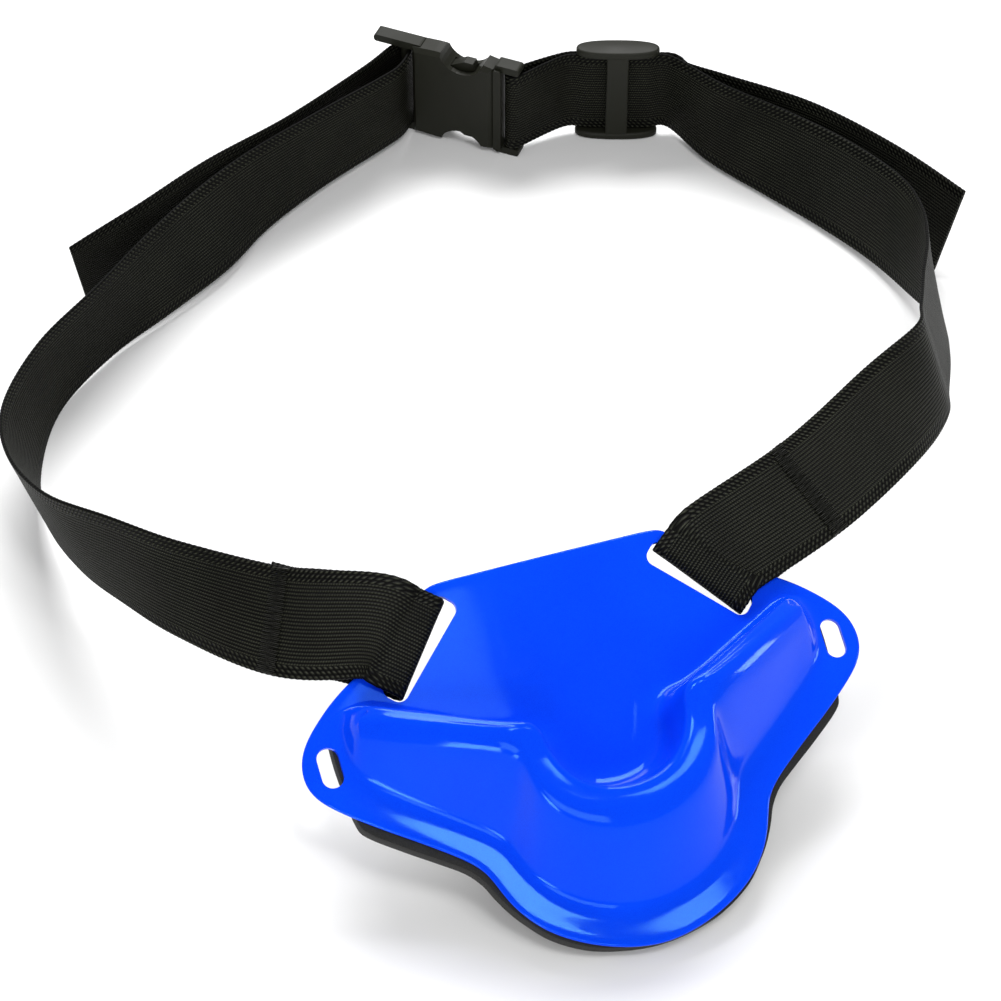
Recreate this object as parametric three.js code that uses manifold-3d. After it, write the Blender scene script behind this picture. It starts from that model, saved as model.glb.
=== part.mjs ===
// Fishing fighting belt: a moulded waist plate with a rod cup, a foam pad behind it,
// and a webbing belt with a side-release buckle and a tri-glide.
// Millimetres. +X runs to the wearer's left along the plate, +Y away from the plate, +Z up.
import * as THREE from "three";
import Module from "manifold-3d";

const wasm = await Module();
wasm.setup();
const { Manifold, CrossSection, Mesh: SolidMesh } = wasm;

// Plate
const PLATE_HALF_WIDTH = 133;
const PLATE_LENGTH = 184.3;
const RIDGE_HEIGHT = 38;
const SHELL = 2.6;
const WAIST_RADIUS = 1000;
const PLATE_TILT = 27.3;
const WAIST_EDGE_ROUND = 3.2;
const OUTER_EDGE_ROUND = 8;
const WALL_DRAFT = 0.105;
const OUTER_COVE = 5;
const RIM_INSET = 2.2;
const RIM_DROP = 0.5;

// Ear holes
const HOLE_LENGTH = 18.5;
const HOLE_WIDTH = 9.8;
const HOLE_INSET = 13;
const HOLE_REACH = PLATE_HALF_WIDTH - HOLE_INSET;
const HOLE_UP = 0.8;

// Strap slots
const SLOT_LENGTH = 53;
const SLOT_WIDTH = 12;
const SLOT_ANGLE = 45;
const SLOT_PLACE = [PLATE_HALF_WIDTH * 0.5035, PLATE_LENGTH * 0.229];
const SLOT_CORNER = 4.5;
const CUT_ABOVE = 20;
const CUT_BELOW = 40;

// Foam pad
const PAD_THICKNESS = 9;
const PAD_GAP = 0.4;
const PAD_FACET = 16;

// Webbing
const WEBBING_WIDTH = 50;
const WEBBING_THICKNESS = 1.8;
const LAYER_GAP = 0.6;
const FIT_CLEARANCE = 0.55;
const LOOP_WIDTH = 480;
const LOOP_DEPTH = 475;
const FOLD_SKEW = 6.5;
const FOLD_OUT = 2.1;
const FOLD_LENGTH = 76;
const SLOT_PLAY = 1;
const BAR_REACH = 9;
const BAR_RUN = 34;
const SUBSTEPS = 3;

// Buckle
const BUCKLE_HEIGHT = 60;
const BUCKLE_RAIL = 4.4;
const BUCKLE_RAIL_DEPTH = 8;
const BUCKLE_HEADING = -41;
const BUCKLE_PLACE = [LOOP_WIDTH * 0.1521, LOOP_DEPTH * 0.9943];
const SOCKET_LENGTH = 44;
const SOCKET_DEPTH = 14;
const SOCKET_WALL = 3;
const SOCKET_MOUTH = 44;
const SOCKET_FRAME = 26;
const SOCKET_BAR_REACH = 9;
const NOTCH_RADIUS = 11;
const NOTCH_PLACE = 26;
const BAR_SIZE = 5;
const PLUG_FRAME = 58.5;
const PLUG_BAR_REACH = 54.2;
const PLUG_BASE = 4.4;
const PRONG_DEPTH = 5.6;
const PRONG_LENGTH = 33;
const JOIN_GAP = 0.4;

// Tri-glide
const GLIDE_LENGTH = 45;
const GLIDE_HEIGHT = 60;
const GLIDE_RAIL = 4.4;
const GLIDE_DEPTH = 13.5;
const GLIDE_BAR = 3.4;
const GLIDE_CENTRE_BAR = 12;
const GLIDE_SIDE_BAR = 5;
const GLIDE_CLEARANCE = 0.8;
const GLIDE_HEADING = -19.3;
const GLIDE_STEP = [58.1, -3.4];

const rad = (degrees) => (degrees * Math.PI) / 180;
const mix = (a, b, t) => a + (b - a) * t;
const mixPoint = (a, b, t) => a.map((v, i) => mix(v, b[i], t));
const length2 = (v) => Math.hypot(v[0], v[1]);

// Top edge of the ridge on the waist side, from the middle of the cup to the end of the arm,
// and the rim of the plate that faces it. Across as a share of the half width, up as a share
// of the plate length, rise and cove as shares of the ridge height.
const INNER_COLUMNS = ["across", "up", "rise", "rimAcross", "rimUp", "cove"];
const INNER_ROWS = [
  [0.0, -0.258, 0.895, 0.0, 0.381, 0.395],
  [0.083, -0.25, 0.895, 0.068, 0.381, 0.395],
  [0.154, -0.224, 0.895, 0.143, 0.381, 0.395],
  [0.207, -0.182, 0.908, 0.218, 0.381, 0.395],
  [0.237, -0.13, 0.934, 0.293, 0.381, 0.368],
  [0.247, -0.087, 0.974, 0.361, 0.381, 0.316],
  [0.274, -0.057, 1.0, 0.421, 0.376, 0.211],
  [0.327, -0.044, 1.0, 0.459, 0.353, 0.132],
  [0.421, -0.014, 0.895, 0.534, 0.296, 0.105],
  [0.541, 0.033, 0.737, 0.632, 0.24, 0.105],
  [0.662, 0.079, 0.553, 0.737, 0.207, 0.105],
  [0.744, 0.111, 0.408, 0.827, 0.168, 0.105],
];

// Outer top edge of the ridge, the foot of its slope and the rim of the flange:
// first round the end of the arm, then back to the middle of the cup.
const OUTER_COLUMNS = ["across", "up", "rise", "footAcross", "footUp", "rimAcross", "rimUp"];
const END_ROWS = [
  [0.768, 0.105, 0.395, 0.797, 0.133, 0.91, 0.118],
  [0.788, 0.09, 0.389, 0.835, 0.09, 0.979, 0.06],
  [0.795, 0.074, 0.389, 0.844, 0.041, 1.0, -0.008],
  [0.795, 0.062, 0.395, 0.831, -0.022, 0.959, -0.077],
];
const OUTER_ROWS = [
  [0.786, 0.053, 0.408, 0.774, -0.076, 0.812, -0.165],
  [0.707, 0.019, 0.553, 0.688, -0.125, 0.722, -0.212],
  [0.594, -0.024, 0.737, 0.594, -0.176, 0.632, -0.26],
  [0.481, -0.062, 0.895, 0.504, -0.225, 0.56, -0.301],
  [0.391, -0.092, 1.0, 0.44, -0.263, 0.511, -0.339],
  [0.346, -0.114, 1.0, 0.402, -0.301, 0.485, -0.38],
  [0.328, -0.152, 0.974, 0.38, -0.342, 0.459, -0.426],
  [0.314, -0.201, 0.934, 0.35, -0.388, 0.417, -0.475],
  [0.274, -0.252, 0.908, 0.293, -0.437, 0.35, -0.526],
  [0.203, -0.298, 0.895, 0.211, -0.48, 0.248, -0.572],
  [0.105, -0.327, 0.895, 0.109, -0.51, 0.128, -0.605],
  [0.0, -0.336, 0.895, 0.0, -0.521, 0.0, -0.619],
];

// Outline of half the pad, from the middle of its top round to the middle of its foot.
const PAD_COLUMNS = ["across", "up"];
const PAD_ROWS = [
  [0.0, 0.36],
  [0.21, 0.36],
  [0.255, 0.335],
  [0.4, 0.23],
  [0.555, 0.112],
  [0.61, 0.098],
  [0.73, 0.148],
  [0.82, 0.148],
  [0.868, 0.112],
  [0.878, 0.03],
  [0.872, -0.06],
  [0.862, -0.135],
  [0.835, -0.172],
  [0.728, -0.232],
  [0.632, -0.281],
  [0.556, -0.322],
  [0.512, -0.361],
  [0.486, -0.4],
  [0.454, -0.441],
  [0.413, -0.481],
  [0.346, -0.532],
  [0.243, -0.577],
  [0.125, -0.602],
  [0.0, -0.612],
];

// Middle of each belt strap from the plate to the back: place as shares of the loop width,
// loop depth and webbing width, and how far the top edge leans over, as a share of the width.
const STRAP_COLUMNS = ["across", "away", "rise", "leanAcross", "leanAway"];
const LEFT_ROWS = [
  [-0.327, 0.234, 1.492, 0.182, 0.269],
  [-0.372, 0.308, 1.318, -0.06, 0.3],
  [-0.408, 0.394, 1.006, -0.253, 0.266],
  [-0.423, 0.493, 0.703, -0.295, 0.25],
  [-0.411, 0.584, 0.529, -0.239, 0.177],
  [-0.362, 0.668, 0.516, -0.093, 0.054],
  [-0.285, 0.733, 0.539, -0.054, 0.027],
  [-0.206, 0.788, 0.561, -0.161, 0.206],
  [-0.139, 0.834, 0.567, -0.211, 0.297],
  [-0.074, 0.88, 0.572, -0.122, 0.166],
  [0.005, 0.92, 0.592, -0.044, 0.054],
];
const LEFT_TAIL_ROWS = [
  [0.077, 0.987, 0.6, 0.043, -0.085],
  [-0.028, 0.928, 0.609, 0.052, -0.035],
  [-0.129, 0.879, 0.651, 0.019, 0.012],
  [-0.218, 0.836, 0.627, -0.088, -0.07],
  [-0.293, 0.822, 0.49, -0.224, -0.261],
];
const RIGHT_ROWS = [
  [0.322, 0.169, 1.758, -0.45, 0.75],
  [0.388, 0.213, 1.735, -0.43, 0.69],
  [0.461, 0.273, 1.586, -0.209, 0.485],
  [0.488, 0.323, 1.392, -0.183, 0.439],
  [0.523, 0.394, 1.15, -0.196, 0.391],
  [0.553, 0.464, 0.93, -0.098, 0.332],
  [0.566, 0.54, 0.7, 0.175, 0.252],
  [0.564, 0.617, 0.54, 0.371, 0.234],
  [0.536, 0.693, 0.49, 0.411, 0.235],
  [0.495, 0.761, 0.5, 0.329, 0.174],
];
const RIGHT_TAIL_ROWS = [
  [0.462, 0.842, 0.55, 0.05, 0.03],
  [0.533, 0.768, 0.52, 0.12, 0.06],
  [0.588, 0.671, 0.51, 0.2, 0.1],
  [0.624, 0.578, 0.5, 0.3, 0.16],
];

// The same columns as steps from the slot, buckle bar or tri-glide, in shares of the webbing width.
const LEFT_SLOT_STEPS = [
  [-0.2055, 0.153, 0.0665, 0.5751, 0.6881],
  [-0.9077, 0.5904, -0.093, 0.3776, 0.5507],
];
const LEFT_BAR_STEPS = [
  [-0.3863, -0.4305, 0, 0, 0],
  [-0.1401, -0.2859, 0, 0, 0],
];
const LEFT_TAIL_STEPS = [[-0.1712, 0.02, 0, 0, 0]];
const RIGHT_SLOT_STEPS = [
  [0.155, 0.08, 0.035, -0.5, 0.73],
  [1.01, 0.4065, 0.0834, -0.382, 0.7858],
];
const RIGHT_GLIDE_STEPS = [[0.8516, -0.8122, -0.05, 0.173, 0.058]];
const RIGHT_TAIL_STEPS = [[0.6884, -0.3562, -0.03, 0.0, 0.0]];

const named = (columns, row) => Object.fromEntries(columns.map((name, i) => [name, row[i]]));

// A smooth curve through four values, used on every number of a row.
function blend(p0, p1, p2, p3, t) {
  return p1.map((v, i) => {
    const a = 2 * v;
    const b = p2[i] - p0[i];
    const c = 2 * p0[i] - 5 * v + 4 * p2[i] - p3[i];
    const d = -p0[i] + 3 * v - 3 * p2[i] + p3[i];
    return 0.5 * (a + b * t + c * t * t + d * t * t * t);
  });
}

function smoothRows(rows, substeps, closed) {
  const count = rows.length;
  const pick = (i) => rows[closed ? (i + count) % count : Math.min(Math.max(i, 0), count - 1)];
  const out = [];
  const spans = closed ? count : count - 1;
  for (let i = 0; i < spans; i++) {
    for (let k = 0; k < substeps; k++) {
      out.push(blend(pick(i - 1), pick(i), pick(i + 1), pick(i + 2), k / substeps));
    }
  }
  if (!closed) out.push(rows[count - 1]);
  return out;
}

function geometryOf(points, faces) {
  const geometry = new THREE.BufferGeometry();
  geometry.setAttribute("position", new THREE.Float32BufferAttribute(points.flat(), 3));
  geometry.setIndex(faces.flat());
  return geometry;
}

function solidFrom(points, faces) {
  const vertProperties = new Float32Array(points.flat());
  const triVerts = new Uint32Array(faces.flat());
  return new Manifold(new SolidMesh({ numProp: 3, vertProperties, triVerts }));
}

function geometryFrom(solid) {
  const { vertProperties, triVerts, numProp } = solid.getMesh();
  const count = vertProperties.length / numProp;
  const place = new Float32Array(count * 3);
  for (let i = 0; i < count; i++) {
    for (let k = 0; k < 3; k++) place[i * 3 + k] = vertProperties[i * numProp + k];
  }
  const geometry = new THREE.BufferGeometry();
  geometry.setAttribute("position", new THREE.BufferAttribute(place, 3));
  geometry.setIndex(Array.from(triVerts));
  return geometry;
}

const waistDrop = (x) => (-x * x) / (2 * WAIST_RADIUS);

// Plate shell

// Each station of the closed loop: top edge of the ridge, its foot, the cove end and the rim.
function plateStations() {
  const inner = INNER_ROWS.map((row) => named(INNER_COLUMNS, row)).map((r) => ({
    edge: [r.across * PLATE_HALF_WIDTH, r.up * PLATE_LENGTH],
    rise: r.rise * RIDGE_HEIGHT,
    rim: [r.rimAcross * PLATE_HALF_WIDTH, r.rimUp * PLATE_LENGTH],
    cove: r.cove * RIDGE_HEIGHT,
  }));
  const innerRows = inner.map((row, i) => {
    const before = i > 0 ? inner[i - 1].edge : [-inner[1].edge[0], inner[1].edge[1]];
    const after = i < inner.length - 1 ? inner[i + 1].edge : row.edge;
    const along = [after[0] - before[0], after[1] - before[1]];
    const size = length2(along);
    const inward = [-along[1] / size, along[0] / size];
    const foot = row.edge.map((v, k) => v + inward[k] * row.rise * WALL_DRAFT);
    const flat = foot.map((v, k) => v + inward[k] * row.cove);
    return [...row.edge, row.rise, ...foot, ...flat, ...row.rim, WAIST_EDGE_ROUND];
  });
  const outerRows = [...END_ROWS, ...OUTER_ROWS].map((row) => named(OUTER_COLUMNS, row)).map((r) => {
    const edge = [r.across * PLATE_HALF_WIDTH, r.up * PLATE_LENGTH];
    const foot = [r.footAcross * PLATE_HALF_WIDTH, r.footUp * PLATE_LENGTH];
    const rim = [r.rimAcross * PLATE_HALF_WIDTH, r.rimUp * PLATE_LENGTH];
    const run = length2([rim[0] - foot[0], rim[1] - foot[1]]);
    const flat = mixPoint(foot, rim, OUTER_COVE / run);
    return [...edge, r.rise * RIDGE_HEIGHT, ...foot, ...flat, ...rim, OUTER_EDGE_ROUND];
  });
  const half = [...innerRows, ...outerRows];
  const mirrored = half
    .slice(1, -1)
    .reverse()
    .map(([ex, ey, rise, fx, fy, cx, cy, rx, ry, bend]) => [-ex, ey, rise, -fx, fy, -cx, cy, -rx, ry, bend]);
  return [...half, ...mirrored];
}

// Section of the shell's front at one station, from the top of the ridge out to the rim.
function plateSection(row) {
  const [ex, ey, rise, fx, fy, cx, cy, rx, ry, bend] = row;
  const wall = [fx - ex, fy - ey, -rise];
  const size = Math.hypot(...wall);
  const plan = length2(wall);
  const round = Math.min(bend, rise * 0.4);
  const top = [ex, ey, rise];
  const back = [ex - (wall[0] / plan) * round, ey - (wall[1] / plan) * round, rise];
  const down = top.map((v, k) => v + (wall[k] / size) * round);
  const cove = Math.min(length2([cx - fx, cy - fy]), size * 0.5);
  const foot = [fx, fy, 0];
  const flat = [cx, cy, 0];
  const start = foot.map((v, k) => v - (wall[k] / size) * cove);
  const rim = [rx, ry, 0];
  const reach = Math.hypot(rx - cx, ry - cy);
  const inset = mixPoint(rim, flat, Math.min(RIM_INSET / reach, 0.5));
  const curve = (a, m, b, t) => mixPoint(mixPoint(a, m, t), mixPoint(m, b, t), t);
  return [
    back,
    curve(back, top, down, 0.35),
    curve(back, top, down, 0.7),
    down,
    mixPoint(down, start, 0.5),
    start,
    curve(start, foot, flat, 0.3),
    curve(start, foot, flat, 0.6),
    flat,
    mixPoint(flat, inset, 0.4),
    inset,
    [rim[0], rim[1], -RIM_DROP],
  ];
}

// Faces of the shell's front: the ridge's top between its two edges, then the rings outward.
function frontFaces(count, rings, arm) {
  const faces = [];
  const at = (ring, i) => ring * count + ((i + count) % count);
  for (let ring = 0; ring + 1 < rings; ring++) {
    for (let i = 0; i < count; i++) {
      faces.push([at(ring, i), at(ring, i + 1), at(ring + 1, i + 1)]);
      faces.push([at(ring, i), at(ring + 1, i + 1), at(ring + 1, i)]);
    }
  }
  const half = count / 2;
  for (const side of [1, -1]) {
    for (let k = 0; k < arm; k++) {
      const a = at(0, side * k);
      const b = at(0, side * (k + 1));
      const c = at(0, side * (half - k - 1));
      const d = at(0, side * (half - k));
      faces.push(side > 0 ? [a, c, b] : [a, b, c]);
      faces.push(side > 0 ? [a, d, c] : [a, c, d]);
    }
    const first = arm;
    const last = half - arm;
    for (let low = first, high = last; high - low > 1; ) {
      const a = at(0, side * low);
      const b = at(0, side * (low + 1));
      const c = at(0, side * high);
      const d = at(0, side * (high - 1));
      faces.push(side > 0 ? [a, c, b] : [a, b, c]);
      if (high - low > 2) faces.push(side > 0 ? [b, c, d] : [b, d, c]);
      low += 1;
      high -= 1;
    }
  }
  return faces;
}

function plateShell() {
  const substeps = 2;
  const stations = smoothRows(plateStations(), substeps, true);
  const sections = stations.map(plateSection);
  const count = sections.length;
  const rings = sections[0].length;
  const front = [];
  for (let ring = 0; ring < rings; ring++) {
    for (const section of sections) {
      const [x, y, z] = section[ring];
      front.push([x, y, z + waistDrop(x)]);
    }
  }
  const faces = frontFaces(count, rings, (INNER_ROWS.length - 1) * substeps);
  const skin = geometryOf(front, faces);
  skin.computeVertexNormals();
  const normals = skin.getAttribute("normal");
  const base = (rings - 1) * count;
  const back = front.map(([x, y, z], i) => {
    if (i >= base) return [x, y, z - SHELL + RIM_DROP];
    return [x - normals.getX(i) * SHELL, y - normals.getY(i) * SHELL, z - normals.getZ(i) * SHELL];
  });
  const shift = front.length;
  const all = [...faces];
  for (const [a, b, c] of faces) all.push([a + shift, c + shift, b + shift]);
  for (let i = 0; i < count; i++) {
    const a = base + i;
    const b = base + ((i + 1) % count);
    all.push([a, b, b + shift], [a, b + shift, a + shift]);
  }
  return solidFrom([...front, ...back], all);
}

// A closed outline of a rounded bar shape, long side along its own first axis.
function roundedBox(long, wide, corner, facets) {
  const inner = CrossSection.square([long - 2 * corner, wide - 2 * corner], true);
  return inner.offset(corner, "Round", 2, facets);
}

function slotCutter(side) {
  const outline = roundedBox(SLOT_LENGTH, SLOT_WIDTH, SLOT_CORNER, 16);
  const cutter = Manifold.extrude(outline, CUT_ABOVE + CUT_BELOW)
    .rotate([0, 0, -SLOT_ANGLE])
    .translate([...SLOT_PLACE, -CUT_BELOW]);
  return side > 0 ? cutter : cutter.mirror([1, 0, 0]);
}

function holeCutter(side) {
  const outline = roundedBox(HOLE_LENGTH, HOLE_WIDTH, HOLE_WIDTH / 2 - 0.01, 24);
  return Manifold.extrude(outline, CUT_ABOVE + CUT_BELOW)
    .rotate([0, 0, 90])
    .translate([side * HOLE_REACH, HOLE_UP, -CUT_BELOW]);
}

function plateSolid() {
  let plate = plateShell();
  for (const side of [1, -1]) {
    plate = plate.subtract(slotCutter(side));
    plate = plate.subtract(holeCutter(side));
  }
  return plate;
}

// Foam pad, bent to the plate's back
function padSolid() {
  const half = PAD_ROWS.map((row) => named(PAD_COLUMNS, row)).map((r) => [r.across * PLATE_HALF_WIDTH, r.up * PLATE_LENGTH]);
  const outline = [...half, ...half.slice(1, -1).reverse().map(([x, y]) => [-x, y])].reverse();
  const slab = Manifold.extrude(new CrossSection([outline]), PAD_THICKNESS).refineToLength(PAD_FACET);
  const top = -SHELL - PAD_GAP - PAD_THICKNESS;
  return slab.warp((v) => {
    v[2] += top + waistDrop(v[0]);
  });
}

// The plate leans back on its lower edge, and its pad's lower back edge touches the table.
const padFoot = PAD_ROWS[PAD_ROWS.length - 1][1] * PLATE_LENGTH;
const padBack = SHELL + PAD_GAP + PAD_THICKNESS;
const tilt = rad(PLATE_TILT);
const PLATE_LIFT = -padFoot * Math.sin(tilt) + padBack * Math.cos(tilt);
const leanBack = (solid) => solid.rotate([PLATE_TILT, 0, 0]).translate([0, 0, PLATE_LIFT]);

function plateToWorld([x, y, z]) {
  return new THREE.Vector3(
    x,
    y * Math.cos(tilt) - z * Math.sin(tilt),
    y * Math.sin(tilt) + z * Math.cos(tilt) + PLATE_LIFT,
  );
}

// Webbing

// A flat band through stations that each hold a middle point and the way to the top edge.
function ribbon(stations) {
  const points = [];
  const faces = [];
  const count = stations.length;
  stations.forEach((station, i) => {
    const before = stations[Math.max(i - 1, 0)].mid;
    const after = stations[Math.min(i + 1, count - 1)].mid;
    const along = after.clone().sub(before).normalize();
    const up = station.up.clone().addScaledVector(along, -station.up.dot(along)).normalize();
    const face = along.clone().cross(up).normalize();
    const corner = (u, f) =>
      station.mid
        .clone()
        .addScaledVector(up, (u * WEBBING_WIDTH) / 2)
        .addScaledVector(face, (f * WEBBING_THICKNESS) / 2)
        .toArray();
    points.push(corner(1, 1), corner(0, 1), corner(-1, 1), corner(-1, -1), corner(0, -1), corner(1, -1));
  });
  const ring = 6;
  for (let i = 0; i + 1 < count; i++) {
    for (let k = 0; k < ring; k++) {
      const a = i * ring + k;
      const b = i * ring + ((k + 1) % ring);
      faces.push([a, b, b + ring], [a, b + ring, a + ring]);
    }
  }
  const end = (count - 1) * ring;
  for (const [a, b, c, d] of [
    [0, 1, 4, 5],
    [1, 2, 3, 4],
  ]) {
    faces.push([a, c, b], [a, d, c]);
    faces.push([end + a, end + b, end + c], [end + a, end + c, end + d]);
  }
  const solid = solidFrom(points, faces);
  if (solid.volume() > 0) return geometryFrom(solid);
  return geometryFrom(solidFrom(points, faces.map(([a, b, c]) => [a, c, b])));
}

function wayUp(r) {
  const rest = Math.sqrt(Math.max(1 - r.leanAcross ** 2 - r.leanAway ** 2, 0));
  return new THREE.Vector3(r.leanAcross, r.leanAway, rest);
}

function strapStation(row) {
  const r = named(STRAP_COLUMNS, row);
  const mid = new THREE.Vector3(r.across * LOOP_WIDTH, r.away * LOOP_DEPTH, r.rise * WEBBING_WIDTH);
  return { mid, up: wayUp(r) };
}

function stepsFrom(start, rows) {
  return rows.map((row) => {
    const r = named(STRAP_COLUMNS, row);
    const step = new THREE.Vector3(r.across, r.away, r.rise).multiplyScalar(WEBBING_WIDTH);
    return { mid: start.clone().add(step), up: wayUp(r) };
  });
}

const rowOf = (station) => [...station.mid.toArray(), ...station.up.toArray()];
const stationOf = (row) => ({
  mid: new THREE.Vector3(row[0], row[1], row[2]),
  up: new THREE.Vector3(row[3], row[4], row[5]).normalize(),
});

// The turn through the plate's slot, from behind the bar to the front of it.
function slotTurn(side) {
  const slant = rad(SLOT_ANGLE);
  const skew = rad(FOLD_SKEW);
  const outward = [Math.cos(slant), Math.sin(slant)];
  const upward = [-Math.sin(slant), Math.cos(slant)];
  const turn = SHELL / 2 + SLOT_PLAY + WEBBING_THICKNESS / 2;
  const axis = [
    Math.cos(skew) * upward[0] + Math.sin(skew) * outward[0],
    Math.cos(skew) * upward[1] + Math.sin(skew) * outward[1],
  ];
  const away = [axis[1], -axis[0]];
  const middle = SLOT_PLACE.map((v, k) => v + outward[k] * FOLD_OUT);
  const onShell = (place, height) =>
    plateToWorld([side * place[0], place[1], waistDrop(place[0]) - SHELL / 2 + height]);
  const at = (reach, height) => onShell(middle.map((v, k) => v + away[k] * reach), height);
  const edgeAt = (share) => onShell(middle.map((v, k) => v + axis[k] * WEBBING_WIDTH * share), 0);
  const up = edgeAt(0.5).sub(edgeAt(-0.5)).normalize();
  const arc = [-90, -130, 180, 130, 90].map((angle) =>
    at(turn * Math.cos(rad(angle)), turn * Math.sin(rad(angle))),
  );
  const behind = at(BAR_REACH, -turn - LAYER_GAP);
  const front = at(BAR_REACH, turn + 2 * LAYER_GAP);
  return { behind, arc, front, up };
}

// The folded-back end lies behind the first stretch of the strap, deeper where the plate is between.
function foldedEnd(main, turn) {
  const line = [turn.front, ...main.slice(0, 4).map((station) => station.mid)];
  const ups = [turn.up, ...main.slice(0, 4).map((station) => station.up)];
  const lengths = [0];
  for (let i = 1; i < line.length; i++) lengths.push(lengths[i - 1] + line[i].distanceTo(line[i - 1]));
  return [1, 0.82, 0.64, 0.45].map((share) => {
    const target = share * FOLD_LENGTH - BAR_REACH;
    let i = 1;
    while (i < line.length - 1 && lengths[i] < target) i++;
    const t = (target - lengths[i - 1]) / (lengths[i] - lengths[i - 1]);
    const mid = line[i - 1].clone().lerp(line[i], t);
    const up = ups[i - 1].clone().lerp(ups[i], t).normalize();
    const along = line[i].clone().sub(line[i - 1]).normalize();
    const face = up.clone().cross(along).normalize();
    if (face.z < 0) face.negate();
    const under = (share * FOLD_LENGTH - BAR_RUN) / (FOLD_LENGTH - BAR_RUN);
    const spread = Math.max(0, 1 - Math.max(under, 0) * 1.5) * (SHELL + LAYER_GAP);
    return { mid: mid.addScaledVector(face, -(WEBBING_THICKNESS + LAYER_GAP + spread)), up };
  });
}

// Plan of the webbing round a buckle bar, as points on a circle about the bar.
function barTurn(centre, angles, rise) {
  const turn = BAR_SIZE / 2 + FIT_CLEARANCE + WEBBING_THICKNESS / 2;
  return angles.map((angle) => ({
    mid: new THREE.Vector3(centre[0] + turn * Math.cos(rad(angle)), centre[1] + turn * Math.sin(rad(angle)), rise),
    up: new THREE.Vector3(0, 0, 1),
  }));
}

const buckleAlong = [Math.cos(rad(BUCKLE_HEADING)), Math.sin(rad(BUCKLE_HEADING))];
const bucklePoint = (reach) => BUCKLE_PLACE.map((v, k) => v + buckleAlong[k] * reach);
const socketBar = bucklePoint(-SOCKET_BAR_REACH);
const plugBar = bucklePoint(PLUG_BAR_REACH);
const MID_RISE = BUCKLE_HEIGHT / 2;
const glidePlace = plugBar.map((v, k) => v + GLIDE_STEP[k]);

const glideAlong = [Math.cos(rad(GLIDE_HEADING)), Math.sin(rad(GLIDE_HEADING))];
const glideOut = [-glideAlong[1], glideAlong[0]];
function glidePoint(reach, out) {
  const place = glidePlace.map((v, k) => v + glideAlong[k] * reach + glideOut[k] * out);
  return { mid: new THREE.Vector3(place[0], place[1], MID_RISE), up: new THREE.Vector3(0, 0, 1) };
}

function smoothStations(stations, substeps) {
  return smoothRows(stations.map(rowOf), substeps, false).map(stationOf);
}

// The stations of one strap from its folded end to the last of its rows.
function slotStart(side, steps, rows) {
  const turn = slotTurn(side);
  const main = [...stepsFrom(turn.front, steps), ...rows.map(strapStation)];
  const start = [...foldedEnd(main, turn), { mid: turn.behind, up: turn.up }];
  const arc = turn.arc.map((mid) => ({ mid, up: turn.up }));
  return { start, arc, main: [{ mid: turn.front, up: turn.up }, ...main] };
}

function leftStrap() {
  const { start, arc, main } = slotStart(-1, LEFT_SLOT_STEPS, LEFT_ROWS);
  const middle = new THREE.Vector3(...socketBar, MID_RISE);
  const near = stepsFrom(middle, LEFT_BAR_STEPS);
  const bar = barTurn(socketBar, [-45, -10, 30, 65, 95, 120], MID_RISE);
  const tail = [...stepsFrom(middle, LEFT_TAIL_STEPS), ...LEFT_TAIL_ROWS.map(strapStation)];
  return ribbon([
    ...smoothStations([...start, arc[0]], 2),
    ...arc.slice(1, -1),
    ...smoothStations([arc[arc.length - 1], ...main, ...near, bar[0]], SUBSTEPS),
    ...smoothStations(bar, 2).slice(1),
    ...smoothStations([bar[bar.length - 1], ...tail], SUBSTEPS).slice(1),
  ]);
}

function rightStrap() {
  const { start, arc, main } = slotStart(1, RIGHT_SLOT_STEPS, RIGHT_ROWS);
  const middle = new THREE.Vector3(...glidePlace, MID_RISE);
  const pitch = (WEBBING_THICKNESS + LAYER_GAP) / 2;
  const reaches = [-1.3, -0.7, 0, 0.7, 1.3].map((share) => (share * GLIDE_LENGTH) / 2);
  const far = reaches.map((reach) => glidePoint(reach, pitch));
  const near = reaches.reverse().map((reach) => glidePoint(reach, -pitch));
  const lead = stepsFrom(middle, RIGHT_GLIDE_STEPS);
  const bar = barTurn(plugBar, [268, 232, 196, 160, 124, 96], MID_RISE);
  const tail = [...stepsFrom(middle, RIGHT_TAIL_STEPS), ...RIGHT_TAIL_ROWS.map(strapStation)];
  return ribbon([
    ...smoothStations([...start, arc[0]], 2),
    ...arc.slice(1, -1),
    ...smoothStations([arc[arc.length - 1], ...main, ...lead, ...near, bar[0]], SUBSTEPS),
    ...smoothStations(bar, 2).slice(1),
    ...smoothStations([bar[bar.length - 1], ...far, ...tail], SUBSTEPS).slice(1),
  ]);
}

// Buckle, drawn lying along its own first axis with its height along the second,
// then stood on its long edge.
function bar(x0, x1, y0, y1, depth, corner) {
  const outline = roundedBox(x1 - x0, y1 - y0, corner, 12).translate([(x0 + x1) / 2, (y0 + y1) / 2]);
  return Manifold.extrude(outline, depth).translate([0, 0, -depth / 2]);
}

// Round bar that the webbing turns about.
function gripBar(reach) {
  const length = BUCKLE_HEIGHT - 2;
  const round = Manifold.cylinder(length, BAR_SIZE / 2, BAR_SIZE / 2, 20, true);
  return round.rotate([90, 0, 0]).translate([reach, 0, 0]);
}

function standBuckle(solid) {
  return solid
    .translate([0, BUCKLE_HEIGHT / 2, 0])
    .rotate([90, 0, 0])
    .rotate([0, 0, BUCKLE_HEADING])
    .translate([BUCKLE_PLACE[0], BUCKLE_PLACE[1], 0]);
}

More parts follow.
